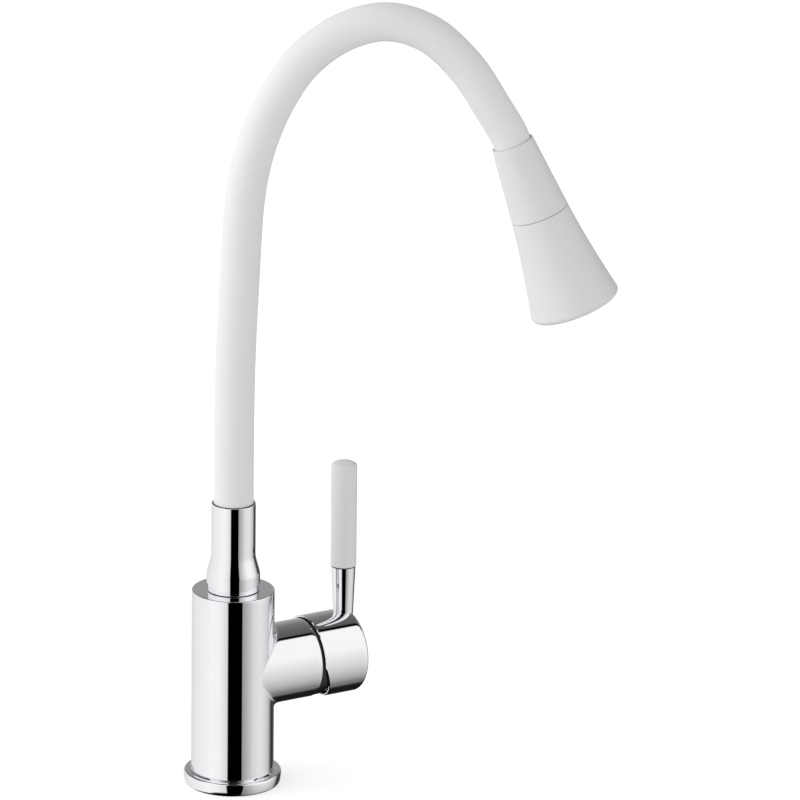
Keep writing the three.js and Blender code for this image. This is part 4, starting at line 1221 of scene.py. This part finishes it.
def spout_points():
    rise = CROWN_HEIGHT - RISER_START
    points = [Vector((0, 0, HOSE_FOOT + SEAT_GAP)), Vector((0, 0, RISER_START))]
    points += [Vector((x * HEAD_REACH, 0, RISER_START + z * rise)) for x, z in riser_shares]
    points += [Vector((x * HEAD_REACH, 0, HEAD_TOP + z * CROWN_RISE)) for x, z in fall_shares]
    points += [on_head_axis(s) for s in (-HOSE_LEAD, 0, HOSE_ENTRY - SEAT_GAP)]
    return points


def curve_between(before, start, end, after, steps):
    """Centripetal Catmull-Rom points from start up to end, end left out."""
    gaps = [math.sqrt((b - a).length) for a, b in ((before, start), (start, end), (end, after))]
    leave = (start - before) / gaps[0] - (end - before) / (gaps[0] + gaps[1])
    leave = (leave + (end - start) / gaps[1]) * gaps[1]
    arrive = (end - start) / gaps[1] - (after - start) / (gaps[1] + gaps[2])
    arrive = (arrive + (after - end) / gaps[2]) * gaps[1]
    points = []
    for step in range(steps):
        t = step / steps
        square, cube = t * t, t * t * t
        place = start * (2 * cube - 3 * square + 1) + end * (3 * square - 2 * cube)
        points.append(place + leave * (cube - 2 * square + t) + arrive * (cube - square))
    return points


def smooth_line(points):
    ends = [2 * points[0] - points[1], *points, 2 * points[-1] - points[-2]]
    line = []
    for before, start, end, after in zip(ends, ends[1:], ends[2:], ends[3:]):
        line += curve_between(before, start, end, after, LINE_STEPS)
    return [*line, points[-1]]


def tube_rows(line, first_radius, last_radius, sides):
    """Sections of a tube along a line that lies in the XZ plane."""
    rows = []
    for at, middle in enumerate(line):
        radius = first_radius + (last_radius - first_radius) * at / (len(line) - 1)
        ahead = line[min(at + 1, len(line) - 1)] - line[max(at - 1, 0)]
        side_way = Vector((-ahead.z, 0, ahead.x)).normalized()
        row = []
        for side in range(sides):
            angle = TURN * side / sides
            across = Vector((0, radius * math.sin(angle), 0))
            row.append(middle + side_way * radius * math.cos(angle) + across)
        rows.append(row)
    return rows


def hose_tube(name, node, slot, outer_radii, bore_radius, sides, material):
    bm = bmesh.new()
    outer = tube_rows(spout_line, *outer_radii, sides)
    inner = tube_rows(spout_line, bore_radius, bore_radius, sides)
    sheet(bm, [*outer, *reversed(inner)], closed_stack=True)
    piece = make_piece(name, bm, UPRIGHT, material)
    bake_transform(piece)
    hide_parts(node)
    print(name, "faces:", len(piece.data.polygons))


spout_line = smooth_line(spout_points())
# Each tube: piece, node, slot, outer radius at both ends, bore radius, sides and finish.
SPOUT_TUBES = [
    ("arch_skin", "hose_cover", "soft_white", (HOSE_START_RADIUS, HOSE_END_RADIUS), 8.0, 72,
     soft_white),
    ("bend_arm", "stay_put_arm", "steel", (7.6, 7.6), 5.6, 24, steel),
    ("inner_hose", "water_hose", "grey_rubber", (5.2, 5.2), 3.5, 16, grey_rubber),
]
for tube in SPOUT_TUBES:
    hose_tube(*tube)
print("spout line points:", len(spout_line))

# %% [markdown]
# ## Spray head
# The head is two white mouldings. The upper one is a plain cone round the end of the arch,
# the lower one flares and turns to change the jet. Its rim is rounded over and its face is
# set back. Both are spun round the head's own axis and then tilted into place.

# %% Turn the two shells of the head
HEAD_PLACE = Matrix.Translation((HEAD_REACH, 0, HEAD_TOP)) @ Matrix.Rotation(
    math.pi - HEAD_TILT, 4, "Y"
)
HEAD_TOP_RADIUS = 12.2
HEAD_BORE_RADIUS = 11.4
HEAD_SEAM_RADIUS = 16.8
HEAD_RIM_RADIUS = 26.8
HEAD_SEAM = 43.9
HEAD_LENGTH = 102.9
HEAD_TOP_EDGE = 0.5
HEAD_RIM_EDGE = 3.0
SEAM_EDGE = 0.35
FLARE_SHARE = 0.3
UPPER_WALL = 2.0
LOWER_WALL = 2.2
SHELF_START = 10.3
SHELF_END = 13.0
NIPPLE_RADIUS = 7.3
CORE_SLEEVE_RADIUS = 10.8
FACE_RECESS = 4.0
FACE_HEIGHT = 2.6
FACE_START = HEAD_LENGTH - FACE_RECESS - FACE_HEIGHT
MAT_THICKNESS = 1.8
MAT_BACK = FACE_START - SEAT_GAP - MAT_THICKNESS
SLEEVE_END = 61.3
NECK_LENGTH = 6.0
NECK_CHAMFER = 1.0
FLARE_STEPS = 40
INNER_FLARE_STEPS = 8
RIM_STEPS = 12


def flare_radius(level):
    share = (level - HEAD_SEAM) / (HEAD_LENGTH - HEAD_SEAM)
    eased = FLARE_SHARE * share * share + (1 - FLARE_SHARE) * share
    return HEAD_SEAM_RADIUS + (HEAD_RIM_RADIUS - HEAD_SEAM_RADIUS) * eased


def flare(start, end, inset, steps):
    levels = [start + (end - start) * step / steps for step in range(steps + 1)]
    return [(flare_radius(level) - inset, level) for level in levels]


upper_end = HEAD_SEAM - SEAT_GAP / 2
upper_outline = [
    (HEAD_BORE_RADIUS, 0),
    *arc(HEAD_TOP_RADIUS - HEAD_TOP_EDGE, HEAD_TOP_EDGE, HEAD_TOP_EDGE, -90, 0),
    *arc(HEAD_SEAM_RADIUS - SEAM_EDGE, upper_end - SEAM_EDGE, SEAM_EDGE, 0, 90, 4),
    (HEAD_SEAM_RADIUS - UPPER_WALL, upper_end),
    (HEAD_TOP_RADIUS - UPPER_WALL + SEAT_GAP, SHELF_END),
    (NIPPLE_RADIUS + SEAT_GAP, SHELF_END),
    (NIPPLE_RADIUS + SEAT_GAP, SHELF_START),
    (HEAD_BORE_RADIUS, SHELF_START),
]
upper_shell = turned("upper_shell", upper_outline, HEAD_PLACE, matt_white)
hide_from_mirrors(upper_shell)
dress(upper_shell, "spray_head", "head_upper_shell")

lower_start = HEAD_SEAM + SEAT_GAP / 2
neck_radius = HEAD_SEAM_RADIUS - UPPER_WALL - 2 * SEAT_GAP
rim_start = HEAD_LENGTH - HEAD_RIM_EDGE
rim_radius = flare_radius(rim_start)
pocket_radius = flare_radius(MAT_BACK) - LOWER_WALL
lower_outline = [
    (CORE_SLEEVE_RADIUS, lower_start - NECK_LENGTH),
    (neck_radius - NECK_CHAMFER, lower_start - NECK_LENGTH),
    (neck_radius, lower_start),
    (HEAD_SEAM_RADIUS - SEAM_EDGE, lower_start),
    *flare(lower_start + SEAM_EDGE, rim_start, 0, FLARE_STEPS),
    *arc(rim_radius - HEAD_RIM_EDGE, rim_start, HEAD_RIM_EDGE, 0, 90, RIM_STEPS)[1:],
    (pocket_radius, HEAD_LENGTH),
    (pocket_radius, MAT_BACK - SEAT_GAP),
    *reversed(flare(SLEEVE_END, MAT_BACK - 1.0, 2 * LOWER_WALL, INNER_FLARE_STEPS)),
    (CORE_SLEEVE_RADIUS, SLEEVE_END),
]
lower_shell = turned("lower_shell", lower_outline, HEAD_PLACE, matt_white)
hide_from_mirrors(lower_shell)
dress(lower_shell, "jet_selector", "head_lower_shell")

# %% [markdown]
# ## Spray face
# Under the head a plate carries a ring of holes. Soft pips of a mat behind it stand out
# through them, and an aerator sits in the middle behind a small cross-barred screen. The
# plate is a flat outline filled round its holes, with the holes' walls as short sheets, and
# each pip is a spun cone with a rounded tip.

# %% Build the spray face
FACE_END = FACE_START + FACE_HEIGHT
FACE_RADIUS = pocket_radius - SEAT_GAP
FACE_BORE = 9.5
FACE_EDGE = 0.3
NOZZLE_COUNT = 12
NOZZLE_RING_SHARE = 0.72
NOZZLE_RING = pocket_radius * NOZZLE_RING_SHARE
NOZZLE_BASE_RADIUS = 1.8
NOZZLE_TIP_RADIUS = 1.0
NOZZLE_TIP_EDGE = 0.3
NOZZLE_STAND = 1.0
NOZZLE_SIDES = 24
JET_RADIUS = 0.45
JET_DEPTH = 1.2
FACE_HOLE_RADIUS = NOZZLE_BASE_RADIUS + 2 * SEAT_GAP


def round_the_ring(radius):
    """Middles of the nozzles round their ring."""
    turns = [TURN * at / NOZZLE_COUNT for at in range(NOZZLE_COUNT)]
    return [(radius * math.cos(turn), radius * math.sin(turn)) for turn in turns]


def nozzle_holes(radius, level):
    middles = round_the_ring(NOZZLE_RING)
    return [round_hole(x, y, radius, level, NOZZLE_SIDES) for x, y in middles]


def bore_ring(level):
    return ring_points(FACE_BORE, level, MEDIUM_TURN)


def face_skin():
    bm = bmesh.new()
    levels = (FACE_START, FACE_END)
    for level in levels:
        inset = FACE_EDGE if level == FACE_END else 0
        edge = ring_points(FACE_RADIUS - inset, level, FINE_TURN)
        flat_fill(bm, [edge, bore_ring(level), *nozzle_holes(FACE_HOLE_RADIUS, level)])
    for rings in zip(*(nozzle_holes(FACE_HOLE_RADIUS, level) for level in levels)):
        sheet(bm, rings)
    sheet(bm, [bore_ring(level) for level in levels])
    rim = [(FACE_RADIUS, FACE_START), (FACE_RADIUS, FACE_END - FACE_EDGE),
           (FACE_RADIUS - FACE_EDGE, FACE_END)]
    sheet(bm, [ring_points(radius, level, FINE_TURN) for radius, level in rim])
    return bm


def mat_skin():
    bm = bmesh.new()
    top = FACE_START - SEAT_GAP
    edges = [ring_points(FACE_RADIUS, level, FINE_TURN) for level in (top, MAT_BACK)]
    bores = [bore_ring(level) for level in (top, MAT_BACK)]
    flat_fill(bm, [edges[0], bores[0], *nozzle_holes(NOZZLE_BASE_RADIUS, top)])
    sheet(bm, edges)
    flat_fill(bm, [edges[1], bores[1]])
    sheet(bm, bores)
    tip = FACE_END + NOZZLE_STAND
    pip = [
        (NOZZLE_BASE_RADIUS, top),
        (NOZZLE_BASE_RADIUS, top + SEAT_GAP),
        *arc(NOZZLE_TIP_RADIUS - NOZZLE_TIP_EDGE, tip - NOZZLE_TIP_EDGE, NOZZLE_TIP_EDGE,
             0, 90, 4),
        (JET_RADIUS, tip),
        (JET_RADIUS, tip - JET_DEPTH),
        (0, tip - JET_DEPTH),
    ]
    for rings in zip(*(nozzle_holes(radius, level) for radius, level in pip)):
        sheet(bm, rings)
    return bm


face_plate = make_piece("spray_face", face_skin(), HEAD_PLACE, inner_plastic)
hide_from_mirrors(face_plate)
dress(face_plate, "jet_selector", "face_plate")
nozzle_mat = make_piece("nozzle_pips", mat_skin(), HEAD_PLACE, grey_rubber)
hide_from_mirrors(nozzle_mat)
dress(nozzle_mat, "jet_selector", "nozzle_mat")

AERATOR_RADIUS = 8.8
AERATOR_WALL = 1.8
AERATOR_LENGTH = 22.0
AERATOR_BORE = 4.0
AERATOR_EDGE = 0.5
aerator_outline = [
    (AERATOR_BORE, FACE_END - AERATOR_LENGTH),
    (AERATOR_RADIUS, FACE_END - AERATOR_LENGTH),
    *arc(AERATOR_RADIUS - AERATOR_EDGE, FACE_END - AERATOR_EDGE, AERATOR_EDGE, 0, 90, 4),
    (AERATOR_RADIUS - AERATOR_WALL, FACE_END),
    (AERATOR_RADIUS - AERATOR_WALL, FACE_END - AERATOR_LENGTH + AERATOR_WALL),
    (AERATOR_BORE, FACE_END - AERATOR_LENGTH + AERATOR_WALL),
]
aerator = turned("aerator_cup", aerator_outline, HEAD_PLACE, inner_plastic, MEDIUM_TURN)
hide_from_mirrors(aerator)
dress(aerator, "jet_selector", "aerator_body")

# %% [markdown]
# ## The pieces inside
# Cartridge, seals, spigot and screws are out of sight when the tap is whole. Their solids
# already have the right form, so they stay, and each only gets the finish of its real
# material. Those inside the stick and the head are left out of the mirrors with them.

# %% Finish the inner pieces
inner_finishes = [
    (brass, "cartridge_nut spout_spigot head_nipple nipple_nut"),
    (steel, "stem_pin lever_stem lever_grub_screw lever_rod spout_lock_screw aerator_screen"),
    (black_rubber, "cartridge_seal lower_seal_ring upper_seal_ring"),
    (white_ceramic, "fixed_disc moving_disc"),
    (inner_plastic, "cartridge_base disc_driver cartridge_shell stem_carrier bearing_washer"),
    (inner_plastic, "water_core selector_disc"),
]
for material, nodes in inner_finishes:
    for node in nodes.split():
        for place in frame["nodes"][node].material_slots:
            place.material = material
unmirrored = "lever_rod head_nipple nipple_nut water_core selector_disc aerator_screen"
for node in unmirrored.split():
    hide_from_mirrors(frame["nodes"][node])
print("inner pieces finished:", sum(len(nodes.split()) for _, nodes in inner_finishes))
